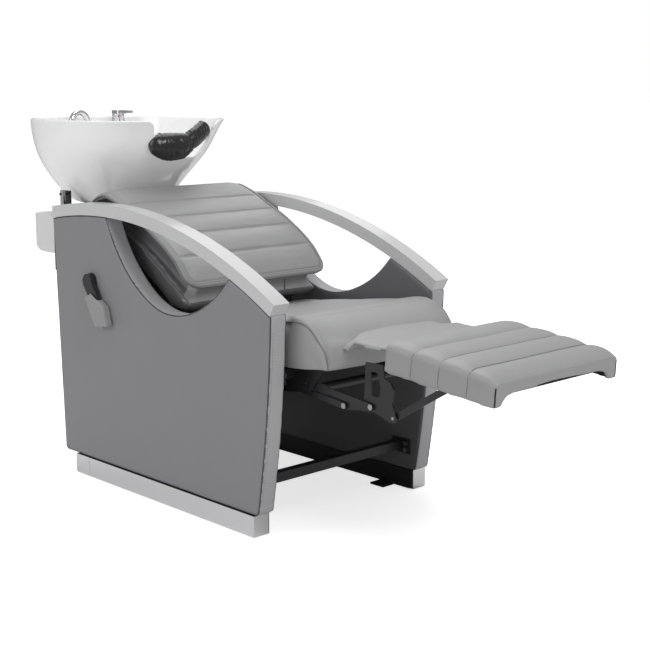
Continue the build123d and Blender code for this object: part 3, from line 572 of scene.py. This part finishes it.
def panel_cover(side, name):
    x_out, x_in = side * (PANEL_OUT + PANEL_COVER_LIFT), side * (PANEL_IN - PANEL_COVER_LIFT)
    n = len(LOOP)
    verts = [(x_out, *p) for p in LOOP] + [(x_in, *p) for p in LOOP]
    faces = [tuple(range(n)), tuple(range(2 * n - 1, n - 1, -1))]
    faces += [(i, (i + 1) % n, n + (i + 1) % n, n + i) for i in range(n)]
    obj = add_mesh(name, verts, faces, ["panel_vinyl", "band_vinyl", "lining_vinyl"])
    bpy.context.view_layer.objects.active = obj
    tri = obj.modifiers.new("tri", "TRIANGULATE")
    tri.min_vertices = 5
    apply_modifiers(obj)
    remesh(obj, PANEL_VOXEL)
    relax(obj, PANEL_RELAX)
    ripple(obj, PANEL_WAVES, PANEL_WAVE_HEIGHT, seed=side * 3.0)
    finish_piece(obj, name, ["panel_vinyl", "band_vinyl", "lining_vinyl"], "frame", None)

    def rule(centre, normal):
        x = centre[:, 0] * side
        index = np.ones(len(x), np.int32)
        index[x > PANEL_OUT - BAND_EDGE] = 0
        index[x < PANEL_IN + BAND_EDGE] = 2
        return index

    face_materials(obj, rule)
    return obj


right_cover = panel_cover(-1, "panel_cover_right")
panel_cover(1, "panel_cover_left")
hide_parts("panel_skins", "panel_linings", "panel_edge_bands")

seam_loop = inset_loop(LOOP, PIPING_INSET)
inner_seam = inset_loop(LOOP, INNER_PIPING_INSET)
for side, label in ((-1, "right"), (1, "left")):
    outer_path = [(side * (PANEL_OUT - PIPING_DEPTH), *p) for p in seam_loop]
    inner_path = [(side * (PANEL_IN + PIPING_DEPTH), *p) for p in inner_seam]
    tubes("panel_piping_" + label, [outer_path], PIPING_R, "frame", "piping", closed=True)
    tubes("panel_inner_piping_" + label, [inner_path], INNER_PIPING_R, "frame", "piping", closed=True)
    edge = [p for p in inset_loop(LOOP, -0.0004) if p[0] < FRONT_EDGE_Y]
    edge = [p for p in edge if FRONT_EDGE_Z[0] < p[1] < FRONT_EDGE_Z[1]]
    edge.sort(key=lambda p: p[1])
    line = [(side * (PANEL_OUT - STITCH_DEPTH), *p) for p in edge]
    stitches("panel_front_stitches_" + label, [line], "frame")


# ------------------------------------------------------------------ seat

def at_side(points, x):
    """Side view points in millimetres, placed at x."""
    return [(x, y / 1000, z / 1000) for y, z in points]


def turn(obj, angle):
    """Turns the points about the X axis."""
    co = coords(obj)
    y, z = co[:, 1].copy(), co[:, 2].copy()
    co[:, 1] = y * math.cos(angle) - z * math.sin(angle)
    co[:, 2] = y * math.sin(angle) + z * math.cos(angle)
    set_coords(obj, co)


def cushion(node, name, voxel, pressure, cap, body, mats, relax_count, drop=None, tilt=0.0):
    """A remeshed and inflated copy of a cushion.

    tilt levels its base for the remesh, and drop reshapes it after the inflation.
    """
    obj = copy_node(node, name)
    turn(obj, tilt)
    remesh(obj, voxel)
    turn(obj, -tilt)
    relax(obj, relax_count)
    inflate(obj, pressure, cap)
    if drop:
        drop(obj)
    relax(obj, 2)
    ripple(obj, 11.0, 0.0012)
    subdivide(obj)
    return finish_piece(obj, name, mats, body, [node])


def smooth_share(value, low, high):
    """0 below low and 1 above high, with a smooth run between."""
    share = np.clip((value - low) / (high - low), 0, 1)
    return share * share * (3 - 2 * share)


FRONT_DROP = 0.018
FRONT_BULGE = 0.034


def lower_front(obj):
    """The cover's front bulges out towards the flap, and its lower edge hangs below the foam."""
    relax(obj, 5)
    co = coords(obj)
    side = np.abs(co[:, 0])
    low = FRONT_DROP * smooth_share(-co[:, 1], 0.25, 0.52) * smooth_share(-co[:, 2], -0.505, -0.450)
    out = FRONT_BULGE * smooth_share(-co[:, 1], 0.46, 0.56) * (1 - smooth_share(side, 0.150, 0.226))
    out *= smooth_share(co[:, 2], 0.445, 0.500)
    co[:, 2] -= low
    co[:, 1] -= out
    set_coords(obj, co)


SEAT_TILT = math.atan(0.13)
SEAT_SEAM_X = 0.229
SEAT_STITCH_X = 0.222
UNDERSIDE_HALF = 0.219
UNDERSIDE_FRONT = -0.556
seat = cushion("seat_cushion", "seat_cover", voxel=0.0065, pressure=4.0, cap=0.009, body="frame",
               mats=["cushion_vinyl", "under_cloth"], relax_count=8,
               drop=lower_front, tilt=SEAT_TILT)


def seat_rule(centre, normal):
    """Dark cloth on the underside, inside the cushion's border."""
    inside = (np.abs(centre[:, 0]) < UNDERSIDE_HALF) & (centre[:, 1] > UNDERSIDE_FRONT)
    return (inside & (normal[:, 2] < -0.3)).astype(np.int32)


face_materials(seat, seat_rule)
seat_tree = surface_of(seat)
SEAT_EDGE = [(24, 472), (-70, 495), (-223, 516), (-375, 535), (-483, 542), (-519, 530), (-540, 507),
             (-566, 484), (-580, 455), (-581, 430)]
seat_paths = []
for s in (-1, 1):
    seat_paths.append(even(drape(smooth_path(at_side(SEAT_EDGE, s * SEAT_SEAM_X)), seat_tree, 0.0), 30))
tubes("seat_piping", seat_paths, 0.0024, "frame", "piping_grey")
for s, label in ((-1, "right"), (1, "left")):
    line = drape(smooth_path(at_side(SEAT_EDGE[1:], s * SEAT_STITCH_X)), seat_tree, 0.0002)
    stitches("seat_stitches_" + label, [line], "frame")
cross = [(x / 1000, -0.486, 0.552) for x in range(-222, 223, 6)]
stitches("seat_cross_stitches", [drape(cross, seat_tree, 0.0003)], "frame", mat="thread_light")


# ------------------------------------------------------------------ padded sheets

class Profile:
    """A side view curve of (y, z) points in millimetres, measured by its length."""

    def __init__(self, points):
        self.points = smooth_path([(0, y / 1000, z / 1000) for y, z in points], 0.002)
        self.step = (self.points[1] - self.points[0]).length
        self.length = self.step * (len(self.points) - 1)

    def at(self, s):
        i = min(max(s / self.step, 0), len(self.points) - 1.001)
        k = int(i)
        return self.points[k].lerp(self.points[k + 1], i - k)

    def normal(self, s):
        a, b = self.at(s - 0.004), self.at(s + 0.004)
        if (b - a).length < 1e-6:
            a, b = self.at(self.length - 0.006), self.at(self.length)
        t = (b - a).normalized()
        return Vector((0, -t.z, t.y))


def padded_sheet(name, profile, width, top, bottom, mats, rows, columns, flip=1):
    """A sewn pad: a grid along the profile and across it, closed at its edge.

    width(s) is its half width; top(s, e, u) and bottom(s, e, u) its heights, with e the distance to the edge.
    """
    verts, faces = [], []
    for layer in (1, -1):
        for i in range(rows + 1):
            share = i / rows
            s = profile.length * ((1 - math.cos(math.pi * share)) / 4 + share / 2)
            half = width(s)
            p, n = profile.at(s), profile.normal(s) * flip
            for j in range(columns + 1):
                u = math.sin(math.pi / 2 * (2 * j / columns - 1)) * 0.6 + (2 * j / columns - 1) * 0.4
                e = min(half * (1 - abs(u)), s, profile.length - s)
                height = top(s, e, u) if layer == 1 else -bottom(s, e, u)
                verts.append(Vector((half * u, p.y, p.z)) + n * height)
    row = columns + 1
    count = (rows + 1) * row
    for i in range(rows):
        for j in range(columns):
            a = i * row + j
            faces.append((a, a + 1, a + row + 1, a + row))
            faces.append((count + a, count + a + row, count + a + row + 1, count + a + 1))
    border = list(range(row)) + [i * row + columns for i in range(1, rows + 1)]
    border += [rows * row + j for j in range(columns - 1, -1, -1)] + [i * row for i in range(rows - 1, 0, -1)]
    for a, b in zip(border, border[1:] + border[:1]):
        faces.append((a, b, count + b, count + a))
    return add_mesh(name, verts, faces, mats)


def round_over(e, radius):
    x = min(max(e / radius, 0.0), 1.0)
    return math.sqrt(max(0.0, 1 - (1 - x) ** 2))


def corner_width(half, s, length, start, end):
    """Half width of a sheet with rounded corners of those radii at its start and end."""
    if s < start:
        return half - start + math.sqrt(max(0.0, start ** 2 - (start - s) ** 2))
    if s > length - end:
        d = end - (length - s)
        return half - end + math.sqrt(max(0.0, end ** 2 - d ** 2))
    return half


EDGE_STEP = 0.006


def edge_path(profile, width, inset, height, s0, s1):
    """A path along the sheet's sides and its start edge, at a height over the profile."""
    left, right = [], []
    steps = int((s1 - s0) / EDGE_STEP)
    for i in range(steps + 1):
        s = s0 + (s1 - s0) * i / steps
        half = width(s) - inset
        p = profile.at(s) + profile.normal(s) * height
        left.append(Vector((-half, p.y, p.z)))
        right.append(Vector((half, p.y, p.z)))
    p = profile.at(s0) + profile.normal(s0) * height
    first = [Vector((x, p.y, p.z)) for x in np.linspace(-width(s0) + inset, width(s0) - inset, 60)]
    return left[::-1] + first[1:-1] + right


# ------------------------------------------------------------------ back

PAD_TOP = [(-65, 589), (-40, 618), (-7, 655), (36, 687), (75, 710), (123, 736), (190, 764), (226, 782),
           (267, 798), (308, 809), (333, 805), (358, 794), (376, 776)]
PAD_HALF = 0.249
PAD_SEAMS = (0.095, 0.185, 0.270, 0.355)
PAD_CORNER = 0.042
PAD_TOP_CORNER = 0.012
PAD_THICK = 0.008
PAD_CROWN = 0.0065
EDGE_SEAM = 0.013
back_profile = Profile([(y - 3, z - 9) for y, z in PAD_TOP])


def back_width(s):
    return corner_width(PAD_HALF, s, back_profile.length, PAD_CORNER, PAD_TOP_CORNER)


def channel(s, seams, depth, spread):
    """The depth of the nearby seams' grooves at a length along the profile."""
    return sum(depth * math.exp(-((s - k) / spread) ** 2) for k in seams)


def back_top(s, e, u):
    """The overlay's face: a flat rim, then channels that swell between the seams, with small wrinkles."""
    height = PAD_THICK * round_over(e, 0.007)
    inner = min(max((e - EDGE_SEAM) / 0.045, 0.0), 1.0)
    height -= 0.0030 * math.exp(-((e - EDGE_SEAM) / 0.0030) ** 2)
    seams = (0.0,) + PAD_SEAMS + (back_profile.length,)
    crown = 0.0
    for a, b in zip(seams, seams[1:]):
        if a <= s <= b:
            crown = math.sin(math.pi * (s - a) / (b - a)) ** 0.8
    height += PAD_CROWN * crown * math.sin(math.pi / 2 * inner)
    height -= channel(s, PAD_SEAMS, 0.0022, 0.0035) * min(inner * 3, 1.0)
    wrinkle = noise.noise(Vector((u * 5, s * 60, 1.0))) * 0.0010
    near = channel(s, PAD_SEAMS, 1.0, 0.020)
    return height + wrinkle * inner * (0.4 + near)


def back_bottom(s, e, u):
    return PAD_THICK * round_over(e, 0.007)


back_cover = padded_sheet("back_pad_cover", back_profile, back_width, back_top, back_bottom,
                          ["cushion_vinyl", "lower_back_vinyl"], rows=220, columns=110)
finish_piece(back_cover, "back_pad_cover", None, "backrest", ["back_pad"])
back_tree = surface_of(back_cover)
border = edge_path(back_profile, back_width, 0.0, 0.0, 0.0, back_profile.length)
tubes("back_pad_piping", [border], 0.0032, "backrest", "piping_grey")
inner_border = edge_path(back_profile, back_width, 0.0095, 0.0075, 0.0095, back_profile.length - 0.01)
tubes("back_pad_inner_piping", [inner_border], 0.0020, "backrest", "cushion_vinyl")
seam_paths = []
for k in PAD_SEAMS:
    p = back_profile.at(k + 0.004) + back_profile.normal(k) * 0.012
    seam_paths.append(drape([(x / 1000, p.y, p.z) for x in range(-234, 235, 6)], back_tree, 0.0003))
stitches("back_pad_stitches", seam_paths, "backrest")

lower_back = cushion("back_cushion", "lower_back_cover", voxel=0.0075, pressure=4.0, cap=0.007,
                     body="backrest", mats=["lower_back_vinyl", "cushion_vinyl"],
                     relax_count=4)
TUCK_Z = 0.537
TUCK_Y = -0.075
TAB_X = 0.112
LOWER_SEAM_X = 0.232


def lower_back_rule(centre, normal):
    """Painted light and shade: the front tab above the tuck gets the lighter cushion vinyl, the rest of the
    lower cushion a darker copy of the same vinyl.
    """
    front = (centre[:, 1] < -0.012) & (normal[:, 1] < -0.2)
    return (front & (centre[:, 2] > TUCK_Z)).astype(np.int32)


face_materials(lower_back, lower_back_rule)
lower_tree = surface_of(lower_back)
LOWER_SEAM = [(-50, 523), (-42, 538), (1, 563), (44, 587), (87, 615), (132, 641), (167, 668), (240, 705),
              (300, 722)]
lower_paths = []
for s in (-1, 1):
    lower_paths.append(even(drape(smooth_path(at_side(LOWER_SEAM, s * LOWER_SEAM_X)), lower_tree, 0.0)))
tuck = drape([(x / 1000, TUCK_Y, TUCK_Z + 0.001) for x in range(-224, 225, 4)], lower_tree, 0.0003)
stitches("lower_back_stitches", [tuck], "backrest", mat="thread_light")
tabs = []
for s in (-1, 1):
    line = [(s * TAB_X, TUCK_Y, TUCK_Z - 0.005 + i * 0.003) for i in range(11)]
    tabs.append(drape(line, lower_tree, 0.0002))
tubes("lower_back_tab_seams", tabs, 0.0012, "backrest", "piping")
tubes("lower_back_piping", lower_paths, 0.0026, "backrest", "piping_grey")

SKIRT_LINE = [(8, 520), (30, 506), (42, 488), (40, 468), (34, 452)]
skirt_profile = Profile(SKIRT_LINE)
SKIRT_HALF = 0.200


def skirt_height(s, e, u):
    return 0.003 * round_over(e, 0.004)


# the skirt under the back gets the darker vinyl as painted shade
skirt = padded_sheet("back_skirt", skirt_profile, lambda s: SKIRT_HALF, skirt_height, skirt_height,
                     ["lower_back_vinyl"], rows=30, columns=40)
ripple(skirt, 20.0, 0.0015)
skirt.data.shade_smooth()
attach(skirt, "backrest")


# ------------------------------------------------------------------ leg rest

LEG_ORIGIN = Vector((0, -0.752, 0.525))
SLOPE = math.radians(5.3)
LEG_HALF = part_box("leg_pad")[1].x
LEG_SEAMS = (0.082, 0.164, 0.246)
LEG_LENGTH = 0.326


def leg_local(co):
    """(forward, up) of points in the tilted pad's own frame."""
    d = co - np.array(LEG_ORIGIN)
    forward = -(d[:, 1] * math.cos(SLOPE) + d[:, 2] * math.sin(SLOPE))
    up = -d[:, 1] * math.sin(SLOPE) + d[:, 2] * math.cos(SLOPE)
    return forward, up


def leg_world(x, forward, up):
    """The reverse of leg_local, for one point."""
    y = LEG_ORIGIN.y - forward * math.cos(SLOPE) - up * math.sin(SLOPE)
    z = LEG_ORIGIN.z - forward * math.sin(SLOPE) + up * math.cos(SLOPE)
    return Vector((x, y, z))


def shape_leg_pad(obj):
    """Four channels between cross seams, a crown over the pad's length and a droop at its free end."""
    co, no = coords(obj), normals(obj)
    forward, up = leg_local(co)
    f = np.clip(forward, 0, LEG_LENGTH)
    seams = np.array((0.0,) + LEG_SEAMS + (LEG_LENGTH,))
    k = np.clip(np.searchsorted(seams, f, side="right") - 1, 0, len(seams) - 2)
    share = (f - seams[k]) / (seams[k + 1] - seams[k])
    crown = np.sin(np.pi * np.clip(share, 0, 1)) ** 0.8
    groove = sum(np.exp(-((f - s) / 0.0042) ** 2) for s in LEG_SEAMS)
    side = np.abs(co[:, 0])
    _, up_n = leg_local(no + np.array(LEG_ORIGIN))
    on_top = np.clip(up_n, 0, 1) * (up > -0.03)
    on_side = np.clip(np.abs(no[:, 0]), 0, 1) * (side > LEG_HALF - 0.012)
    fade = np.clip((LEG_HALF - side) / 0.03, 0, 1)
    lift = on_top * (0.0050 * crown - 0.0022 * groove) + on_side * (0.0022 * crown - 0.0014 * groove)
    lift += on_top * 0.010 * np.cos(np.pi / 2 * np.clip((f - 0.10) / 0.23, -1, 1)) * (0.3 + 0.7 * fade)
    droop = on_top * np.clip((f - 0.27) / 0.056, 0, 1) ** 2 * 0.007
    co = co + no * (lift - droop)[:, None]
    set_coords(obj, co)


leg_cover = copy_node("leg_pad", "leg_rest_cover")
remesh(leg_cover, 0.0042)
relax(leg_cover, 8)
shape_leg_pad(leg_cover)
relax(leg_cover, 2)
ripple(leg_cover, 14.0, 0.0012)
finish_piece(leg_cover, "leg_rest_cover", ["cushion_vinyl", "under_cloth"], "leg_rest", ["leg_pad"])


def leg_rule(centre, normal):
    """Dark cloth on the underside, inside the pad's border."""
    forward, up = leg_local(centre)
    _, up_n = leg_local(normal + np.array(LEG_ORIGIN))
    inside = (np.abs(centre[:, 0]) < LEG_HALF - 0.006) & (forward > 0.006) & (forward < LEG_LENGTH - 0.006)
    return (inside & (up < -0.016)).astype(np.int32)


face_materials(leg_cover, leg_rule)
leg_tree = surface_of(leg_cover)
leg_seam_paths = []
for k in LEG_SEAMS:
    path = [leg_world(-LEG_HALF - 0.004, k, -0.056 + i * 0.005) for i in range(11)]
    path += [leg_world(x / 1000, k, 0.010) for x in range(-214, 215, 6)]
    path += [leg_world(LEG_HALF + 0.004, k, -0.006 - i * 0.005) for i in range(11)]
    leg_seam_paths.append(drape(resample(path, 0.005), leg_tree, 0.0002))
tubes("leg_rest_seams", [even(p, 3) for p in leg_seam_paths], 0.0008, "leg_rest", "seam_grey", sides=6)
corner_paths = []
for s in (-1, 1):
    path = [leg_world(s * (LEG_HALF - 0.001), LEG_LENGTH - 0.001, -0.060 + i * 0.004) for i in range(12)]
    corner_paths.append(drape(path, leg_tree, 0.0003))
tubes("leg_rest_corner_zips", corner_paths, 0.0016, "leg_rest", "under_cloth")

FLAP_LINE = [(-500, 524), (-530, 521), (-560, 514), (-585, 509), (-612, 506), (-650, 504), (-700, 504),
             (-757, 506)]
flap_profile = Profile(FLAP_LINE)
FLAP_HALF = 0.186
FREE_Y, ROOT_Y = -0.622, -0.590
DIVE_START, DIVE_SPAN, DIVE = 0.105, 0.081, 0.024


def flap_top(s, e, u):
    edge = min(FLAP_HALF * (1 - abs(u)), flap_profile.length - s)
    return 0.007 * round_over(max(edge, 0.0), 0.012) + 0.002 * math.cos(math.pi / 2 * u)


def flap_bottom(s, e, u):
    edge = min(FLAP_HALF * (1 - abs(u)), flap_profile.length - s)
    return 0.006 * round_over(max(edge, 0.0), 0.012)


flap_cover = padded_sheet("leg_flap_cover", flap_profile, lambda s: FLAP_HALF, flap_top, flap_bottom,
                          ["cushion_vinyl"], rows=80, columns=60, flip=-1)
flap_co = coords(flap_cover)
near_root = np.clip((flap_co[:, 1] - FREE_Y) / (ROOT_Y - FREE_Y), 0, 1)
near_side = np.clip((np.abs(flap_co[:, 0]) - DIVE_START) / DIVE_SPAN, 0, 1)
flap_co[:, 2] -= DIVE * near_root ** 2 * (3 - 2 * near_root) * near_side ** 2.2
set_coords(flap_cover, flap_co)
ripple(flap_cover, 15.0, 0.0008)
flap_cover.data.shade_smooth()
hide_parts("leg_flap")
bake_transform(flap_cover)


# ------------------------------------------------------------------ lever sleeve

sleeve = copy_node("lever_sleeve", "lever_sleeve_cover")
remesh(sleeve, 0.0022)
relax(sleeve, 10)
ripple(sleeve, 60.0, 0.0012)
finish_piece(sleeve, "lever_sleeve_cover", ["sleeve_vinyl"], "release_lever", ["lever_sleeve"])


# ------------------------------------------------------------------ basin

basin = copy_node("bowl", "basin_ceramic")
remesh(basin, 0.0034)
relax(basin, 12, 0.6)
finish_piece(basin, "basin_ceramic", ["ceramic"], "bowl_body", ["bowl"])

# (x, y, z, radius) in millimetres: a fat roll from the near side, then a slimmer arm up to the far corner
NECK = [(-98, 292, 950, 22), (-90, 283, 943, 32), (-72, 274, 934, 38), (-45, 267, 930, 40),
        (-15, 265, 932, 38), (6, 265, 938, 33), (16, 266, 943, 24), (24, 267, 947, 27), (48, 272, 958, 26),
        (72, 279, 970, 25), (92, 287, 981, 24)]
NECK_DEPTH = 0.72
NECK_CREASE = 0.016
NECK_STEP = 0.0015
NECK_SIDES = 48


def build_neck():
    path = smooth_path([(x / 1000, y / 1000, z / 1000) for x, y, z, _ in NECK], NECK_STEP)
    xs = [x / 1000 for x, _, _, _ in NECK]
    radii = [float(np.interp(p.x, xs, [r / 1000 for _, _, _, r in NECK])) for p in path]
    for _ in range(4):
        middle = [(a + 2 * b + c) / 4 for a, b, c in zip(radii, radii[1:], radii[2:])]
        radii = [radii[0]] + middle + [radii[-1]]
    last = len(path) - 1

    def radius(share):
        i = round(share * last)
        near_end = round_over(i * NECK_STEP, 0.022)
        far_end = round_over((last - i) * NECK_STEP + 0.0006, 0.004)
        return max(radii[i] * min(near_end, far_end), 0.0008)

    verts, faces = tube_mesh(path, radius, sides=NECK_SIDES)
    for i, v in enumerate(verts):
        middle = path[i // NECK_SIDES].y
        v.y = middle + (v.y - middle) * NECK_DEPTH
    obj = add_mesh("neck_rest_cover", verts, faces, ["neck_gel"])
    co, no = coords(obj), normals(obj)
    folds = np.array([noise.noise(Vector((c[0] * 190 + c[2] * 40, c[2] * 16, c[1] * 12))) for c in co])
    crease = np.exp(-((co[:, 0] - NECK_CREASE - (co[:, 2] - 0.94) * 0.10) / 0.0035) ** 2)
    crease += 0.5 * np.exp(-((co[:, 0] - NECK_CREASE + 0.011 - (co[:, 2] - 0.94) * 0.16) / 0.0030) ** 2)
    set_coords(obj, co + no * (folds * 0.0019 - crease * 0.0040)[:, None])
    ripple(obj, 50.0, 0.0012, seed=4.0)
    finish_piece(obj, "neck_rest_cover", None, "neck_rest_body", ["neck_rest"])
    tree = surface_of(obj)
    under = [p + Vector((0, -0.3, -0.95)) * radii[i] for i, p in enumerate(path) if 12 < i < last - 3]
    tubes("neck_rest_seam", [even(drape(under, tree, 0.0003))], 0.0012, "neck_rest_body", "neck_gel")


build_neck()


# ------------------------------------------------------------------ tap dots

cap_low, cap_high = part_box("tap_cartridge")
CAP_CENTRE = (cap_low + cap_high) / 2
CAP_RADIUS = (cap_high.x - cap_low.x) / 2
DOT_RADIUS, DOT_DEPTH, DOT_SUNK = 0.0026, 0.0012, 0.0005


def dot(name, angle, mat):
    out = Vector((math.sin(angle), -math.cos(angle), 0))
    start = CAP_CENTRE + out * (CAP_RADIUS - DOT_SUNK)
    verts, faces = tube_mesh([start, start + out * DOT_DEPTH], DOT_RADIUS, sides=16)
    obj = add_mesh(name, verts, faces, [mat], smooth=False)
    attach(obj, "tap_cartridge_body")


dot("tap_dot_hot", -0.10, "dot_red")
dot("tap_dot_cold", -0.55, "dot_blue")


# ------------------------------------------------------------------ studio

def only_for_camera(tree, low, high):
    """A value that is high where the camera looks straight at it, and low for bounced light."""
    seen = tree.nodes.new("ShaderNodeLightPath")
    level = tree.nodes.new("ShaderNodeMapRange")
    level.inputs["To Min"].default_value = low
    level.inputs["To Max"].default_value = high
    link(tree, seen, "Is Camera Ray", level, "Value")
    return level


FLOOR_HALF = 60
FLOOR_GLOW = 0.72
SKY_LIGHT, SKY_SEEN = 0.42, 1.0


def stage_floor():
    size = FLOOR_HALF
    verts = [(-size, -size, 0), (size, -size, 0), (size, size, 0), (-size, size, 0)]
    obj = add_mesh("floor", verts, [(0, 1, 2, 3)], [], smooth=False)
    pale = material("floor_pale", (0.85, 0.85, 0.85), 0.6)
    shader = pale.node_tree.nodes["Principled BSDF"]
    shader.inputs["Specular IOR Level"].default_value = 0.1
    shader.inputs["Emission Color"].default_value = (1, 1, 1, 1)
    level = only_for_camera(pale.node_tree, 0.0, FLOOR_GLOW)
    link(pale.node_tree, level, "Result", shader, "Emission Strength")
    obj.data.materials.append(pale)
    obj.location.z = -0.0005


stage_floor()
world = bpy.data.worlds.new("studio")
bpy.context.scene.world = world
world.use_nodes = True
sky = world.node_tree
sky.nodes["Background"].inputs["Color"].default_value = (1, 1, 1, 1)
link(sky, only_for_camera(sky, SKY_LIGHT, SKY_SEEN), "Result", sky.nodes["Background"], "Strength")


def area_light(name, place, target, size, power):
    """A rectangular lamp at a place, turned to a target; size is (width, height) in metres."""
    data = bpy.data.lights.new(name, "AREA")
    data.shape = "RECTANGLE"
    data.size, data.size_y = size
    data.energy = power
    obj = bpy.data.objects.new(name, data)
    bpy.context.scene.collection.objects.link(obj)
    obj.location = place
    obj.rotation_euler = (Vector(target) - Vector(place)).to_track_quat("-Z", "Y").to_euler()


area_light("key", (-0.6, -3.2, 3.2), (0, -0.1, 0.5), (1.6, 1.6), 46)
area_light("left", (-4.0, 1.2, 2.0), (0, 0, 0.5), (1.8, 2.4), 34)
area_light("top", (0.4, 0.6, 4.0), (0, 0, 0.6), (2.4, 2.4), 40)
area_light("floor_glow", (2.2, 2.6, 3.0), (1.2, 1.2, 0), (3.0, 3.0), 30)

camera_data = bpy.data.cameras.new("camera")
camera = bpy.data.objects.new("camera", camera_data)
bpy.context.scene.collection.objects.link(camera)
camera.location = (-2.3425, -2.7912, 1.1132)
camera.rotation_euler = (math.radians(79.59), 0.0, math.radians(-43.495))
camera_data.lens = 73.45
camera_data.sensor_width = 36.0
bpy.context.scene.camera = camera
bpy.context.scene.view_settings.view_transform = "Standard"
